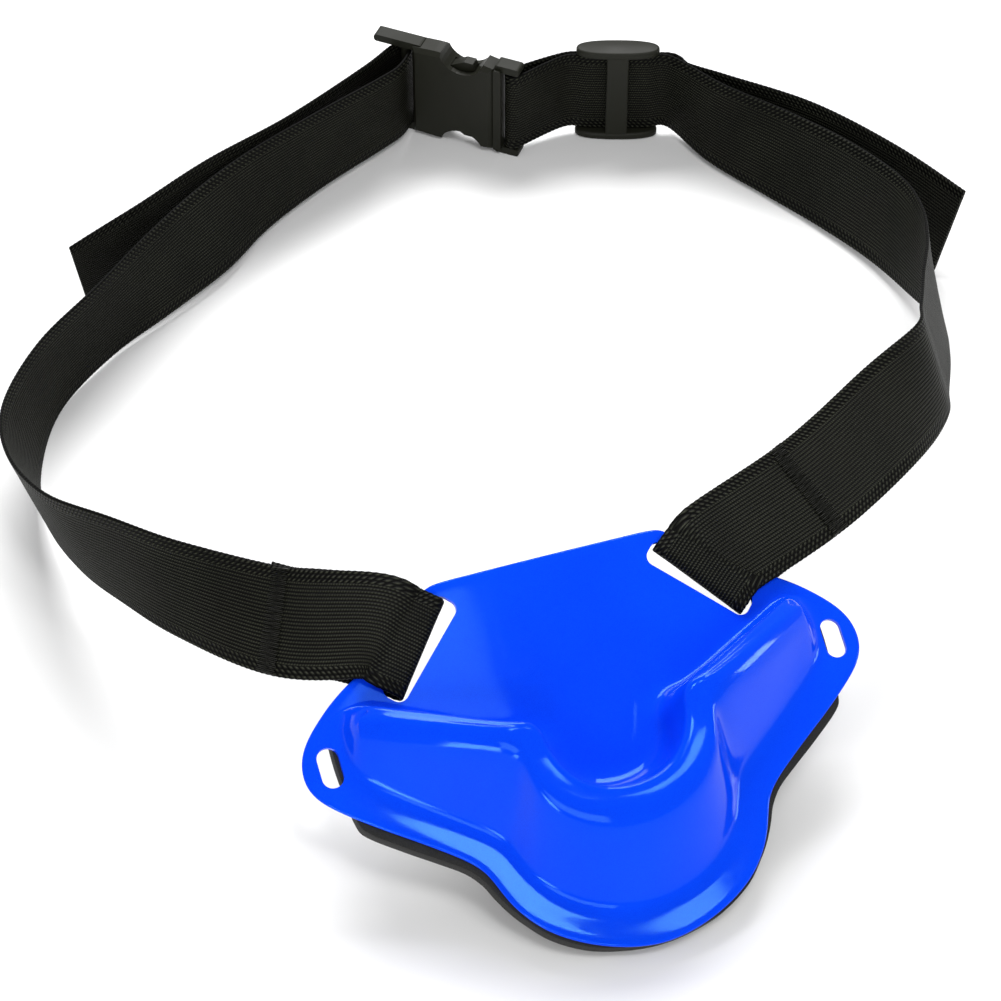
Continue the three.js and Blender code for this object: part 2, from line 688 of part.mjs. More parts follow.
// A body with its long edges taken down toward both faces.
function softBody(outline, depth, edge) {
  const waist = Manifold.extrude(outline, depth - 2 * edge).translate([0, 0, edge - depth / 2]);
  const slim = outline.offset(-edge, "Round", 2, 12);
  const core = Manifold.extrude(slim, depth).translate([0, 0, -depth / 2]);
  return Manifold.hull([waist, core]);
}

function socketSolid() {
  const half = BUCKLE_HEIGHT / 2;
  const shape = new CrossSection([
    [
      [-3, -half + 1],
      [10, -half + 0.2],
      [SOCKET_LENGTH - 10, -half + 0.6],
      [SOCKET_LENGTH, -half + 2.5],
      [SOCKET_LENGTH, half - 2.5],
      [SOCKET_LENGTH - 10, half - 0.6],
      [10, half - 0.2],
      [-3, half - 1],
    ],
  ]);
  let body = softBody(shape, SOCKET_DEPTH, 2.2);
  const mouth = Manifold.cube([SOCKET_LENGTH, SOCKET_MOUTH, SOCKET_DEPTH - 2 * SOCKET_WALL], true);
  body = body.subtract(mouth.translate([SOCKET_LENGTH / 2 + 6, 0, 0]));
  for (const side of [1, -1]) {
    const notch = Manifold.cylinder(SOCKET_DEPTH + 2, NOTCH_RADIUS, NOTCH_RADIUS, 28, true);
    body = body.subtract(notch.scale([1.15, 1, 1]).translate([NOTCH_PLACE, side * (half + 1), 0]));
  }
  for (const side of [1, -1]) {
    const low = side > 0 ? half - BUCKLE_RAIL : -half;
    body = body.add(bar(-SOCKET_FRAME, 2, low, low + BUCKLE_RAIL, BUCKLE_RAIL_DEPTH, 1.6));
  }
  return standBuckle(body.add(gripBar(-SOCKET_BAR_REACH)));
}

function plugSolid() {
  const half = BUCKLE_HEIGHT / 2;
  const start = SOCKET_LENGTH + JOIN_GAP;
  let plug = bar(start, start + PLUG_BASE, -half + 2.5, half - 2.5, SOCKET_DEPTH - 2, 1);
  for (const side of [1, -1]) {
    const low = side > 0 ? half - BUCKLE_RAIL : -half;
    plug = plug.add(bar(start, PLUG_FRAME, low, low + BUCKLE_RAIL, BUCKLE_RAIL_DEPTH, 1.6));
  }
  plug = plug.add(gripBar(PLUG_BAR_REACH));
  const tip = start - PRONG_LENGTH;
  plug = plug.add(bar(tip + 4, start + 1, -4, 4, PRONG_DEPTH, 1));
  for (const side of [1, -1]) {
    const arm = new CrossSection([
      [
        [start + 1, 13],
        [start + 1, 19],
        [tip + 22, 19.5],
        [tip + 20, 25.5],
        [tip + 15, 25.5],
        [tip + 8, 21.6],
        [tip + 2, 20],
        [tip, 15],
        [tip + 6, 12],
      ],
    ]);
    const prong = Manifold.extrude(arm, PRONG_DEPTH).translate([0, 0, -PRONG_DEPTH / 2]);
    plug = plug.add(side > 0 ? prong : prong.mirror([0, 1, 0]));
  }
  return standBuckle(plug);
}

// Tri-glide: two oval ends, two side bars behind the webbing and a wide bar in front of it.
function glideSolid() {
  const half = GLIDE_HEIGHT / 2;
  const layers = WEBBING_THICKNESS + LAYER_GAP / 2;
  const barPlace = layers + GLIDE_CLEARANCE + GLIDE_BAR / 2;
  const outline = roundedBox(GLIDE_LENGTH, GLIDE_DEPTH, GLIDE_DEPTH / 2 - 0.6, 24);
  let glide = null;
  for (const side of [1, -1]) {
    const low = side > 0 ? half - GLIDE_RAIL : -half;
    const core = Manifold.extrude(outline, GLIDE_RAIL - 2);
    const slim = Manifold.extrude(outline.offset(-1, "Round", 2, 24), GLIDE_RAIL);
    const end = Manifold.hull([core.translate([0, 0, 1]), slim]).translate([0, 0, low]);
    glide = glide ? glide.add(end) : end;
  }
  const upright = (reach, wide, out) =>
    Manifold.cube([wide, GLIDE_BAR, GLIDE_HEIGHT - 2], true).translate([reach, out, 0]);
  const sideReach = GLIDE_LENGTH / 2 - GLIDE_SIDE_BAR / 2 - 3;
  glide = glide.add(upright(0, GLIDE_CENTRE_BAR, -barPlace));
  glide = glide.add(upright(sideReach, GLIDE_SIDE_BAR, barPlace));
  glide = glide.add(upright(-sideReach, GLIDE_SIDE_BAR, barPlace));
  return glide
    .rotate([0, 0, GLIDE_HEADING])
    .translate([glidePlace[0], glidePlace[1], GLIDE_HEIGHT / 2]);
}

const gloss = new THREE.MeshStandardMaterial({ color: 0x0a46e0, roughness: 0.12 });
const foam = new THREE.MeshStandardMaterial({ color: 0x111111, roughness: 0.95 });
const webbing = new THREE.MeshStandardMaterial({ color: 0x1a1a18, roughness: 0.85 });
const plastic = new THREE.MeshStandardMaterial({ color: 0x0d0d0d, roughness: 0.45 });

const pieces = [
  ["plate", geometryFrom(leanBack(plateSolid())), gloss],
  ["foam_pad", geometryFrom(leanBack(padSolid())), foam],
  ["strap_left", leftStrap(), webbing],
  ["strap_right", rightStrap(), webbing],
  ["buckle_socket", geometryFrom(socketSolid()), plastic],
  ["buckle_plug", geometryFrom(plugSolid()), plastic],
  ["tri_glide", geometryFrom(glideSolid()), plastic],
];

// The part's origin is the middle of its footprint, on the table.
const bounds = new THREE.Box3();
for (const [, geometry] of pieces) {
  geometry.computeBoundingBox();
  bounds.union(geometry.boundingBox);
}
const middle = bounds.getCenter(new THREE.Vector3());

const group = new THREE.Group();
group.name = "fighting_belt";
for (const [name, geometry, material] of pieces) {
  geometry.translate(-middle.x, -middle.y, -bounds.min.z);
  const mesh = new THREE.Mesh(geometry, material);
  mesh.name = name;
  group.add(mesh);
}

export default group;
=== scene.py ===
# Fishing fighting belt: glossy moulded rod plate on a foam pad, with a webbing waist belt,
# a side-release buckle and a tri-glide. Sizes are in millimetres until a mesh is made.
import math

import bmesh
import bpy
from mathutils import Matrix, Vector


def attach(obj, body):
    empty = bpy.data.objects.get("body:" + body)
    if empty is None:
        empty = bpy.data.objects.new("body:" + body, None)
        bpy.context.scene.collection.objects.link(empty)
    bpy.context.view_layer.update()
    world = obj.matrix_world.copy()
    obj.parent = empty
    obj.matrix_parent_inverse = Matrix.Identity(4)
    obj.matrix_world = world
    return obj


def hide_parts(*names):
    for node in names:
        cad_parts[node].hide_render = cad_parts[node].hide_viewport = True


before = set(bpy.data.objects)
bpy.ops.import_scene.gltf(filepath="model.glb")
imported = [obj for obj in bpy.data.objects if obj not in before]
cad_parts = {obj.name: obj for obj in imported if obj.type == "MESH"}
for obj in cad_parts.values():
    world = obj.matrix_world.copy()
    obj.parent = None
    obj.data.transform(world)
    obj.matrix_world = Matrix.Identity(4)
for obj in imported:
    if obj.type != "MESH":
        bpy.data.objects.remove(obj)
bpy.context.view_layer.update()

MM = 0.001
# The middle of the belt's footprint, seen from the plate's own origin
PART_MIDDLE = Vector((48.526, 195.612, 0.0))

# Plate
PLATE_HALF_WIDTH = 133.0
PLATE_LENGTH = 184.3
RIDGE_HEIGHT = 38.0
SHELL = 2.6
WAIST_RADIUS = 1000.0
PLATE_TILT = math.radians(27.3)
WAIST_EDGE_ROUND = 3.2
OUTER_EDGE_ROUND = 8.0
WALL_DRAFT = 0.105
OUTER_COVE = 5.0
RIM_INSET = 2.2
RIM_DROP = 0.5
PLATE_STEPS = 2

HOLE_LENGTH = 18.5
HOLE_WIDTH = 9.8
HOLE_REACH = 120.0
HOLE_UP = 0.8

SLOT_LENGTH = 53.0
SLOT_WIDTH = 12.0
SLOT_ANGLE = math.radians(45.0)
SLOT_PLACE = Vector((PLATE_HALF_WIDTH * 0.5035, PLATE_LENGTH * 0.229))
SLOT_CORNER = 4.5

# Cutting shapes, above and below the plate's own lie
CUT_ABOVE = 20.0
CUT_BELOW = 40.0
CORNER_POINTS = 12

# Foam pad
PAD_THICKNESS = 9.0
PAD_GAP = 0.4
PAD_STRIP = 8.0
PAD_STRIP_OFFSET = 0.13
PAD_EDGE = 0.8
PAD_STEPS = 4

# Webbing
WEBBING_WIDTH = 50.0
WEBBING_THICKNESS = 1.8
LAYER_GAP = 0.6
FIT_CLEARANCE = 0.55
LOOP_WIDTH = 480.0
LOOP_DEPTH = 475.0
FOLD_SKEW = math.radians(6.5)
FOLD_OUT = 2.1
FOLD_LENGTH = 76.0
SLOT_PLAY = 1.0
BAR_REACH = 9.0
BAR_RUN = 34.0
BAR_SIZE = 5.0
STRAP_STEPS = 8
BAR_STEPS = 4
RING_STEP = 0.65
SCALLOP = 0.22
SCALLOP_BAND = 2.0

# Weave of the webbing, across and along it in metres
WARP_PITCH = 0.00167
WEFT_PITCH = 0.00125
WEFT_SKEW = 0.374
SELVEDGE = 0.0186
BRAID_PITCH = 0.0026
BRAID_ROW = 0.0021
BRAID_SLANT = 0.9

# Bar tack that sews the folded end down
TACK_PLACE = 69.0
TACK_WIDTH = 8.5
TACK_TURNS = 58
TACK_MARGIN = 0.75
TACK_WANDER = 0.35
WANDER_TURN = 2.3
THREAD_SIZE = 0.62
THREAD_SIDES = 6
THREAD_LIFT = 0.12

# Buckle and tri-glide
BUCKLE_HEIGHT = 60.0
BUCKLE_HEADING = math.radians(-41.0)
BUCKLE_PLACE = (LOOP_WIDTH * 0.1521, LOOP_DEPTH * 0.9943)
SOCKET_BAR_REACH = 9.0
PLUG_BAR_REACH = 54.2
GLIDE_LENGTH = 45.0
GLIDE_HEIGHT = 60.0
GLIDE_DEPTH = 13.5
GLIDE_RAIL = 4.4
GLIDE_BAR = 3.4
GLIDE_CENTRE_BAR = 12.0
GLIDE_SIDE_BAR = 5.0
GLIDE_SIDE_REACH = 15.0
GLIDE_CLEARANCE = 0.8
GLIDE_END_FULLNESS = 0.8
GLIDE_END_ROUND = 1.5
GLIDE_BAR_ROUND = 0.9
GLIDE_BAR_SET = 2.0
GLIDE_HEADING = math.radians(-19.3)
GLIDE_STEP = (58.1, -3.4)

# Ridge from the middle of the cup to the end of the arm, on its waist side: top edge across and up,
# rise, rim across and up, cove. Shares of half width, length and ridge height.
INNER_ROWS = [
    [0.0, -0.258, 0.895, 0.0, 0.381, 0.395],
    [0.083, -0.25, 0.895, 0.068, 0.381, 0.395],
    [0.154, -0.224, 0.895, 0.143, 0.381, 0.395],
    [0.207, -0.182, 0.908, 0.218, 0.381, 0.395],
    [0.237, -0.13, 0.934, 0.293, 0.381, 0.368],
    [0.247, -0.087, 0.974, 0.361, 0.381, 0.316],
    [0.274, -0.057, 1.0, 0.421, 0.376, 0.211],
    [0.327, -0.044, 1.0, 0.459, 0.353, 0.132],
    [0.421, -0.014, 0.895, 0.534, 0.296, 0.105],
    [0.541, 0.033, 0.737, 0.632, 0.24, 0.105],
    [0.662, 0.079, 0.553, 0.737, 0.207, 0.105],
    [0.744, 0.111, 0.408, 0.827, 0.168, 0.105],
]

# Ridge round the end of the arm and back to the middle of the cup: top edge across and up, rise,
# foot across and up, rim across and up.
OUTER_ROWS = [
    [0.768, 0.105, 0.395, 0.797, 0.133, 0.91, 0.118],
    [0.788, 0.09, 0.389, 0.835, 0.09, 0.979, 0.06],
    [0.795, 0.074, 0.389, 0.844, 0.041, 1.0, -0.008],
    [0.795, 0.062, 0.395, 0.831, -0.022, 0.959, -0.077],
    [0.786, 0.053, 0.408, 0.774, -0.076, 0.812, -0.165],
    [0.707, 0.019, 0.553, 0.688, -0.125, 0.722, -0.212],
    [0.594, -0.024, 0.737, 0.594, -0.176, 0.632, -0.26],
    [0.481, -0.062, 0.895, 0.504, -0.225, 0.56, -0.301],
    [0.391, -0.092, 1.0, 0.44, -0.263, 0.511, -0.339],
    [0.346, -0.114, 1.0, 0.402, -0.301, 0.485, -0.38],
    [0.328, -0.152, 0.974, 0.38, -0.342, 0.459, -0.426],
    [0.314, -0.201, 0.934, 0.35, -0.388, 0.417, -0.475],
    [0.274, -0.252, 0.908, 0.293, -0.437, 0.35, -0.526],
    [0.203, -0.298, 0.895, 0.211, -0.48, 0.248, -0.572],
    [0.105, -0.327, 0.895, 0.109, -0.51, 0.128, -0.605],
    [0.0, -0.336, 0.895, 0.0, -0.521, 0.0, -0.619],
]

# Outline of half the pad from the middle of its top to the middle of its foot: across, up
PAD_ROWS = [
    [0.0, 0.36],
    [0.21, 0.36],
    [0.255, 0.335],
    [0.4, 0.23],
    [0.555, 0.112],
    [0.61, 0.098],
    [0.73, 0.148],
    [0.82, 0.148],
    [0.868, 0.112],
    [0.878, 0.03],
    [0.872, -0.06],
    [0.862, -0.135],
    [0.835, -0.172],
    [0.728, -0.232],
    [0.632, -0.281],
    [0.556, -0.322],
    [0.512, -0.361],
    [0.486, -0.4],
    [0.454, -0.441],
    [0.413, -0.481],
    [0.346, -0.532],
    [0.243, -0.577],
    [0.125, -0.602],
    [0.0, -0.612],
]

# Middle of each strap: across, away and rise as shares of loop width, loop depth and webbing
# width, then how far the top edge leans across and away.
LEFT_ROWS = [
    [-0.327, 0.234, 1.492, 0.182, 0.269],
    [-0.372, 0.308, 1.318, -0.06, 0.3],
    [-0.408, 0.394, 1.006, -0.253, 0.266],
    [-0.423, 0.493, 0.703, -0.295, 0.25],
    [-0.411, 0.584, 0.529, -0.239, 0.177],
    [-0.362, 0.668, 0.516, -0.093, 0.054],
    [-0.285, 0.733, 0.539, -0.054, 0.027],
    [-0.206, 0.788, 0.561, -0.161, 0.206],
    [-0.139, 0.834, 0.567, -0.211, 0.297],
    [-0.074, 0.88, 0.572, -0.122, 0.166],
    [0.005, 0.92, 0.592, -0.044, 0.054],
]
LEFT_TAIL_ROWS = [
    [0.077, 0.987, 0.6, 0.043, -0.085],
    [-0.028, 0.928, 0.609, 0.052, -0.035],
    [-0.129, 0.879, 0.651, 0.019, 0.012],
    [-0.218, 0.836, 0.627, -0.088, -0.07],
    [-0.293, 0.822, 0.49, -0.224, -0.261],
]
RIGHT_ROWS = [
    [0.322, 0.169, 1.758, -0.45, 0.75],
    [0.388, 0.213, 1.735, -0.43, 0.69],
    [0.461, 0.273, 1.586, -0.209, 0.485],
    [0.488, 0.323, 1.392, -0.183, 0.439],
    [0.523, 0.394, 1.15, -0.196, 0.391],
    [0.553, 0.464, 0.93, -0.098, 0.332],
    [0.566, 0.54, 0.7, 0.175, 0.252],
    [0.564, 0.617, 0.54, 0.371, 0.234],
    [0.536, 0.693, 0.49, 0.411, 0.235],
    [0.495, 0.761, 0.5, 0.329, 0.174],
]
RIGHT_TAIL_ROWS = [
    [0.462, 0.842, 0.55, 0.05, 0.03],
    [0.533, 0.768, 0.52, 0.12, 0.06],
    [0.588, 0.671, 0.51, 0.2, 0.1],
    [0.624, 0.578, 0.5, 0.3, 0.16],
]

# The same columns as steps from the slot, buckle bar or tri-glide, in shares of the webbing width
LEFT_SLOT_STEPS = [
    [-0.2055, 0.153, 0.0665, 0.5751, 0.6881],
    [-0.9077, 0.5904, -0.093, 0.3776, 0.5507],
]
LEFT_BAR_STEPS = [
    [-0.3863, -0.4305, 0, 0, 0],
    [-0.1401, -0.2859, 0, 0, 0],
]
LEFT_TAIL_STEPS = [[-0.1712, 0.02, 0, 0, 0]]
RIGHT_SLOT_STEPS = [
    [0.155, 0.08, 0.035, -0.5, 0.73],
    [1.01, 0.4065, 0.0834, -0.382, 0.7858],
]
RIGHT_GLIDE_STEPS = [[0.8516, -0.8122, -0.05, 0.173, 0.058]]
RIGHT_TAIL_STEPS = [[0.6884, -0.3562, -0.03, 0.0, 0.0]]


# Smooth curves through rows of numbers


def blend(p0, p1, p2, p3, t):
    """A point between the second and third rows, on a smooth curve through all four."""
    out = []
    for a, b, c, d in zip(p0, p1, p2, p3):
        curve = 2 * a - 5 * b + 4 * c - d
        turn = -a + 3 * b - 3 * c + d
        out.append(0.5 * (2 * b + (c - a) * t + curve * t * t + turn * t**3))
    return out


def smooth_rows(rows, substeps, closed=False):
    """The rows with even steps between each two, on a smooth curve."""
    count = len(rows)

    def pick(i):
        return rows[i % count] if closed else rows[min(max(i, 0), count - 1)]

    out = []
    for i in range(count if closed else count - 1):
        for k in range(substeps):
            out.append(blend(pick(i - 1), pick(i), pick(i + 1), pick(i + 2), k / substeps))
    if not closed:
        out.append(list(rows[-1]))
    return out


def waist_drop(x):
    """How far the plate falls away from flat to follow the waist."""
    return -x * x / (2 * WAIST_RADIUS)


PAD_FOOT = PAD_ROWS[-1][1] * PLATE_LENGTH
PAD_BACK = SHELL + PAD_GAP + PAD_THICKNESS
PLATE_LIFT = -PAD_FOOT * math.sin(PLATE_TILT) + PAD_BACK * math.cos(PLATE_TILT)


def lean_back(place):
    """From the plate's own lie to where it leans on the table."""
    x, y, z = place
    up = y * math.sin(PLATE_TILT) + z * math.cos(PLATE_TILT) + PLATE_LIFT
    return Vector((x, y * math.cos(PLATE_TILT) - z * math.sin(PLATE_TILT), up))


def on_table(place):
    return (Vector(place) - PART_MIDDLE) * MM


def on_plate(place):
    return on_table(lean_back(place))


# Mesh helpers


def ring_of(bm, places):
    """A closed loop of edges through the places."""
    verts = bmesh.ops.create_circle(bm, segments=len(places), radius=1.0)["verts"]
    for vert, place in zip(verts, places):
        vert.co = place
    return verts


def ring_edges(bm, ring):
    return [bm.edges.get((ring[i - 1], ring[i])) for i in range(len(ring))]


def next_ring(bm, ring, places):
    """Extrudes a loop of edges to its next places."""
    made = bmesh.ops.extrude_edge_only(bm, edges=ring_edges(bm, ring))["geom"]
    fresh = {item for item in made if isinstance(item, bmesh.types.BMVert)}
    out = []
    for vert, place in zip(ring, places):
        new = next(e.other_vert(vert) for e in vert.link_edges if e.other_vert(vert) in fresh)
        new.co = place
        out.append(new)
    return out


def new_object(name, bm, *materials):
    mesh = bpy.data.meshes.new(name)
    bm.to_mesh(mesh)
    bm.free()
    obj = bpy.data.objects.new(name, mesh)
    bpy.context.scene.collection.objects.link(obj)
    for material in materials:
        mesh.materials.append(material)
    return obj


def bake_modifiers(obj):
    """Turns what the modifiers make into the object's own mesh."""
    graph = bpy.context.evaluated_depsgraph_get()
    baked = bpy.data.meshes.new_from_object(obj.evaluated_get(graph))
    obj.modifiers.clear()
    obj.data = baked


def smooth_faces(obj, angle):
    obj.data.shade_smooth()
    obj.data.set_sharp_from_angle(angle=math.radians(angle))


def belongs(obj, slot, *nodes):
    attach(obj, "root")
    if nodes:
        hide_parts(*nodes)


# Materials


def new_material(name):
    material = bpy.data.materials.new(name)
    material.use_nodes = True
    nodes = material.node_tree.nodes
    return material, nodes, material.node_tree.links, nodes["Principled BSDF"]


def math_node(nodes, links, operation, *values):
    node = nodes.new("ShaderNodeMath")
    node.operation = operation
    for socket, value in zip(node.inputs, values):
        if isinstance(value, (int, float)):
            socket.default_value = value
        else:
            links.new(value, socket)
    return node.outputs[0]


def noise_node(nodes, links, source, scale, detail, rough):
    node = nodes.new("ShaderNodeTexNoise")
    node.inputs["Scale"].default_value = scale
    node.inputs["Detail"].default_value = detail
    node.inputs["Roughness"].default_value = rough
    links.new(source, node.inputs["Vector"])
    return node.outputs["Fac"]


def range_node(nodes, links, value, low, high, to_low, to_high):
    node = nodes.new("ShaderNodeMapRange")
    links.new(value, node.inputs["Value"])
    for name, number in zip(("From Min", "From Max", "To Min", "To Max"), (low, high, to_low, to_high)):
        node.inputs[name].default_value = number
    return node.outputs["Result"]


def mix_colours(nodes, links, share, first, second):
    node = nodes.new("ShaderNodeMix")
    node.data_type = "RGBA"
    links.new(share, node.inputs["Factor"])
    for socket, value in zip((node.inputs["A"], node.inputs["B"]), (first, second)):
        if isinstance(value, tuple):
            socket.default_value = (*value, 1.0)
        else:
            links.new(value, socket)
    return node.outputs["Result"]


def bump_node(nodes, links, height, strength, distance, below=None):
    node = nodes.new("ShaderNodeBump")
    node.inputs["Strength"].default_value = strength
    node.inputs["Distance"].default_value = distance
    links.new(height, node.inputs["Height"])
    if below is not None:
        links.new(below, node.inputs["Normal"])
    return node.outputs["Normal"]


def glossy_blue_shell():
    deep_blue = (0.0005, 0.037, 0.71)
    clear_blue = (0.0008, 0.045, 0.79)
    glint_painted_blue = (0.003, 0.10, 0.92)
    material, nodes, links, shader = new_material("glossy_blue_shell")
    place = nodes.new("ShaderNodeTexCoord").outputs["Object"]
    cloud = noise_node(nodes, links, place, 14.0, 3.0, 0.5)
    share = range_node(nodes, links, cloud, 0.35, 0.65, 0.0, 1.0)
    blue = mix_colours(nodes, links, share, deep_blue, clear_blue)
    # Lighter blue specks in the base colour stand in for the sparkle of the plastic: painted glints.
    glint_speck_cells = nodes.new("ShaderNodeTexVoronoi")
    glint_speck_cells.inputs["Scale"].default_value = 2400.0
    links.new(place, glint_speck_cells.inputs["Vector"])
    painted_glint_share = range_node(nodes, links, glint_speck_cells.outputs["Distance"], 0.1, 0.75, 1.0, 0.0)
    painted_glint_share = math_node(nodes, links, "MULTIPLY", painted_glint_share, 0.3)
    links.new(mix_colours(nodes, links, painted_glint_share, blue, glint_painted_blue), shader.inputs["Base Color"])
    scuffs = noise_node(nodes, links, place, 320.0, 4.0, 0.6)
    links.new(range_node(nodes, links, scuffs, 0.3, 0.75, 0.05, 0.12), shader.inputs["Roughness"])
    ripple = noise_node(nodes, links, place, 60.0, 2.0, 0.5)
    links.new(bump_node(nodes, links, ripple, 0.05, 0.0005), shader.inputs["Normal"])
    shader.inputs["IOR"].default_value = 1.5
    shader.inputs["Specular IOR Level"].default_value = 0.17
    shader.inputs["Specular Tint"].default_value = (0.28, 0.95, 1.0, 1.0)
    return material


def black_foam():
    pore_painted_shade = (0.004, 0.004, 0.004)
    cell_wall = (0.014, 0.014, 0.013)
    material, nodes, links, shader = new_material("black_foam")
    place = nodes.new("ShaderNodeTexCoord").outputs["Object"]
    cells = nodes.new("ShaderNodeTexVoronoi")
    cells.inputs["Scale"].default_value = 1500.0
    links.new(place, cells.inputs["Vector"])
    # Each cell darkens towards its middle: painted shade in the pores; the cell walls keep the foam's own
    # black.
    share = range_node(nodes, links, cells.outputs["Distance"], 0.0, 0.8, 0.0, 1.0)
    links.new(mix_colours(nodes, links, share, pore_painted_shade, cell_wall), shader.inputs["Base Color"])
    tears = noise_node(nodes, links, place, 260.0, 5.0, 0.65)
    low = bump_node(nodes, links, tears, 0.5, 0.0008)
    links.new(bump_node(nodes, links, cells.outputs["Distance"], 0.5, 0.0003, low), shader.inputs["Normal"])
    shader.inputs["Roughness"].default_value = 0.92
    return material


def wave_node(nodes, links, value, pitch, low, high):
    turn = math_node(nodes, links, "MULTIPLY", value, 2 * math.pi / pitch)
    return range_node(nodes, links, math_node(nodes, links, "COSINE", turn), -1.0, 1.0, low, high)


def weave_height(nodes, links, across, along):
    """Height of the weave: lengthwise ribs in the middle and slanted floats along both edges."""
    skew = math_node(nodes, links, "MULTIPLY", across, WEFT_SKEW)
    skew = math_node(nodes, links, "ADD", along, skew)
    ribs = wave_node(nodes, links, across, WARP_PITCH, 0.0, 1.0)
    dips = wave_node(nodes, links, skew, WEFT_PITCH, 0.45, 1.0)
    side = math_node(nodes, links, "ABSOLUTE", across)
    row = math_node(nodes, links, "SUBTRACT", side, SELVEDGE + BRAID_ROW / 2)
    slant = math_node(nodes, links, "MULTIPLY", side, BRAID_SLANT)
    slant = math_node(nodes, links, "ADD", slant, along)
    rows = wave_node(nodes, links, row, BRAID_ROW, 0.15, 1.0)
    floats = wave_node(nodes, links, slant, BRAID_PITCH, 0.0, 1.0)
    height = nodes.new("ShaderNodeMix")
    edge = range_node(nodes, links, side, SELVEDGE, SELVEDGE + 0.0004, 0.0, 1.0)
    links.new(edge, height.inputs["Factor"])
    links.new(math_node(nodes, links, "MULTIPLY", ribs, dips), height.inputs["A"])
    links.new(math_node(nodes, links, "MULTIPLY", rows, floats), height.inputs["B"])
    return height.outputs["Result"]


def black_webbing():
    groove_painted_shade = (0.0003, 0.0003, 0.0002)
    crest_painted_sheen = (0.050, 0.053, 0.036)
    material, nodes, links, shader = new_material("black_webbing")
    chart = nodes.new("ShaderNodeUVMap")
    chart.uv_map = "weave"
    split = nodes.new("ShaderNodeSeparateXYZ")
    links.new(chart.outputs["UV"], split.inputs[0])
    weave = weave_height(nodes, links, split.outputs["X"], split.outputs["Y"])
    place = nodes.new("ShaderNodeTexCoord").outputs["Object"]
    fibres = noise_node(nodes, links, place, 2600.0, 2.0, 0.6)
    wear = noise_node(nodes, links, place, 38.0, 3.0, 0.5)
    # The weave's height colours the yarn: painted shade in its grooves and a painted sheen on its crests,
    # with the fibre and wear noise varying the tone at random.
    painted_shade_and_wear = math_node(nodes, links, "POWER", weave, 1.9)
    painted_shade_and_wear = math_node(nodes, links, "MULTIPLY", painted_shade_and_wear, range_node(nodes, links, fibres, 0.3, 0.7, 0.6, 1.15))
    painted_shade_and_wear = math_node(nodes, links, "MULTIPLY", painted_shade_and_wear, range_node(nodes, links, wear, 0.3, 0.7, 0.7, 1.1))
    links.new(mix_colours(nodes, links, painted_shade_and_wear, groove_painted_shade, crest_painted_sheen), shader.inputs["Base Color"])
    low = bump_node(nodes, links, fibres, 0.25, 0.0002)
    links.new(bump_node(nodes, links, weave, 1.0, 0.0007, low), shader.inputs["Normal"])
    shader.inputs["Roughness"].default_value = 0.5
    shader.inputs["Specular IOR Level"].default_value = 0.06
    return material


def stitching_thread():
    thread_painted_shade = (0.003, 0.003, 0.0025)
    thread_painted_light = (0.022, 0.023, 0.017)
    material, nodes, links, shader = new_material("stitching_thread")
    place = nodes.new("ShaderNodeTexCoord").outputs["Object"]
    twist = noise_node(nodes, links, place, 1800.0, 2.0, 0.5)
    # The twist noise that raises the bumps also colours the thread: painted shade in their dips and painted
    # light on their tops.
    links.new(mix_colours(nodes, links, twist, thread_painted_shade, thread_painted_light), shader.inputs["Base Color"])
    links.new(bump_node(nodes, links, twist, 0.4, 0.0002), shader.inputs["Normal"])
    shader.inputs["Roughness"].default_value = 0.6
    return material


def black_moulded_plastic():
    dark_plastic = (0.0075, 0.0078, 0.0048)
    worn_plastic = (0.0135, 0.014, 0.0092)
    material, nodes, links, shader = new_material("black_moulded_plastic")
    place = nodes.new("ShaderNodeTexCoord").outputs["Object"]
    fine = noise_node(nodes, links, place, 1800.0, 3.0, 0.6)
    broad = noise_node(nodes, links, place, 45.0, 3.0, 0.5)
    links.new(mix_colours(nodes, links, broad, dark_plastic, worn_plastic), shader.inputs["Base Color"])
    links.new(range_node(nodes, links, broad, 0.3, 0.7, 0.40, 0.52), shader.inputs["Roughness"])
    shader.inputs["Specular IOR Level"].default_value = 0.15
    links.new(bump_node(nodes, links, fine, 0.12, 0.0002), shader.inputs["Normal"])
    return material


def pale_floor():
    material, nodes, links, shader = new_material("pale_floor")
    place = nodes.new("ShaderNodeTexCoord").outputs["Object"]
    cloud = noise_node(nodes, links, place, 3.0, 2.0, 0.5)
    links.new(mix_colours(nodes, links, cloud, (0.86, 0.86, 0.86), (0.89, 0.89, 0.89)),
              shader.inputs["Base Color"])
    shader.inputs["Roughness"].default_value = 0.8
    shader.inputs["Specular IOR Level"].default_value = 0.1
    return material


# Plate shell


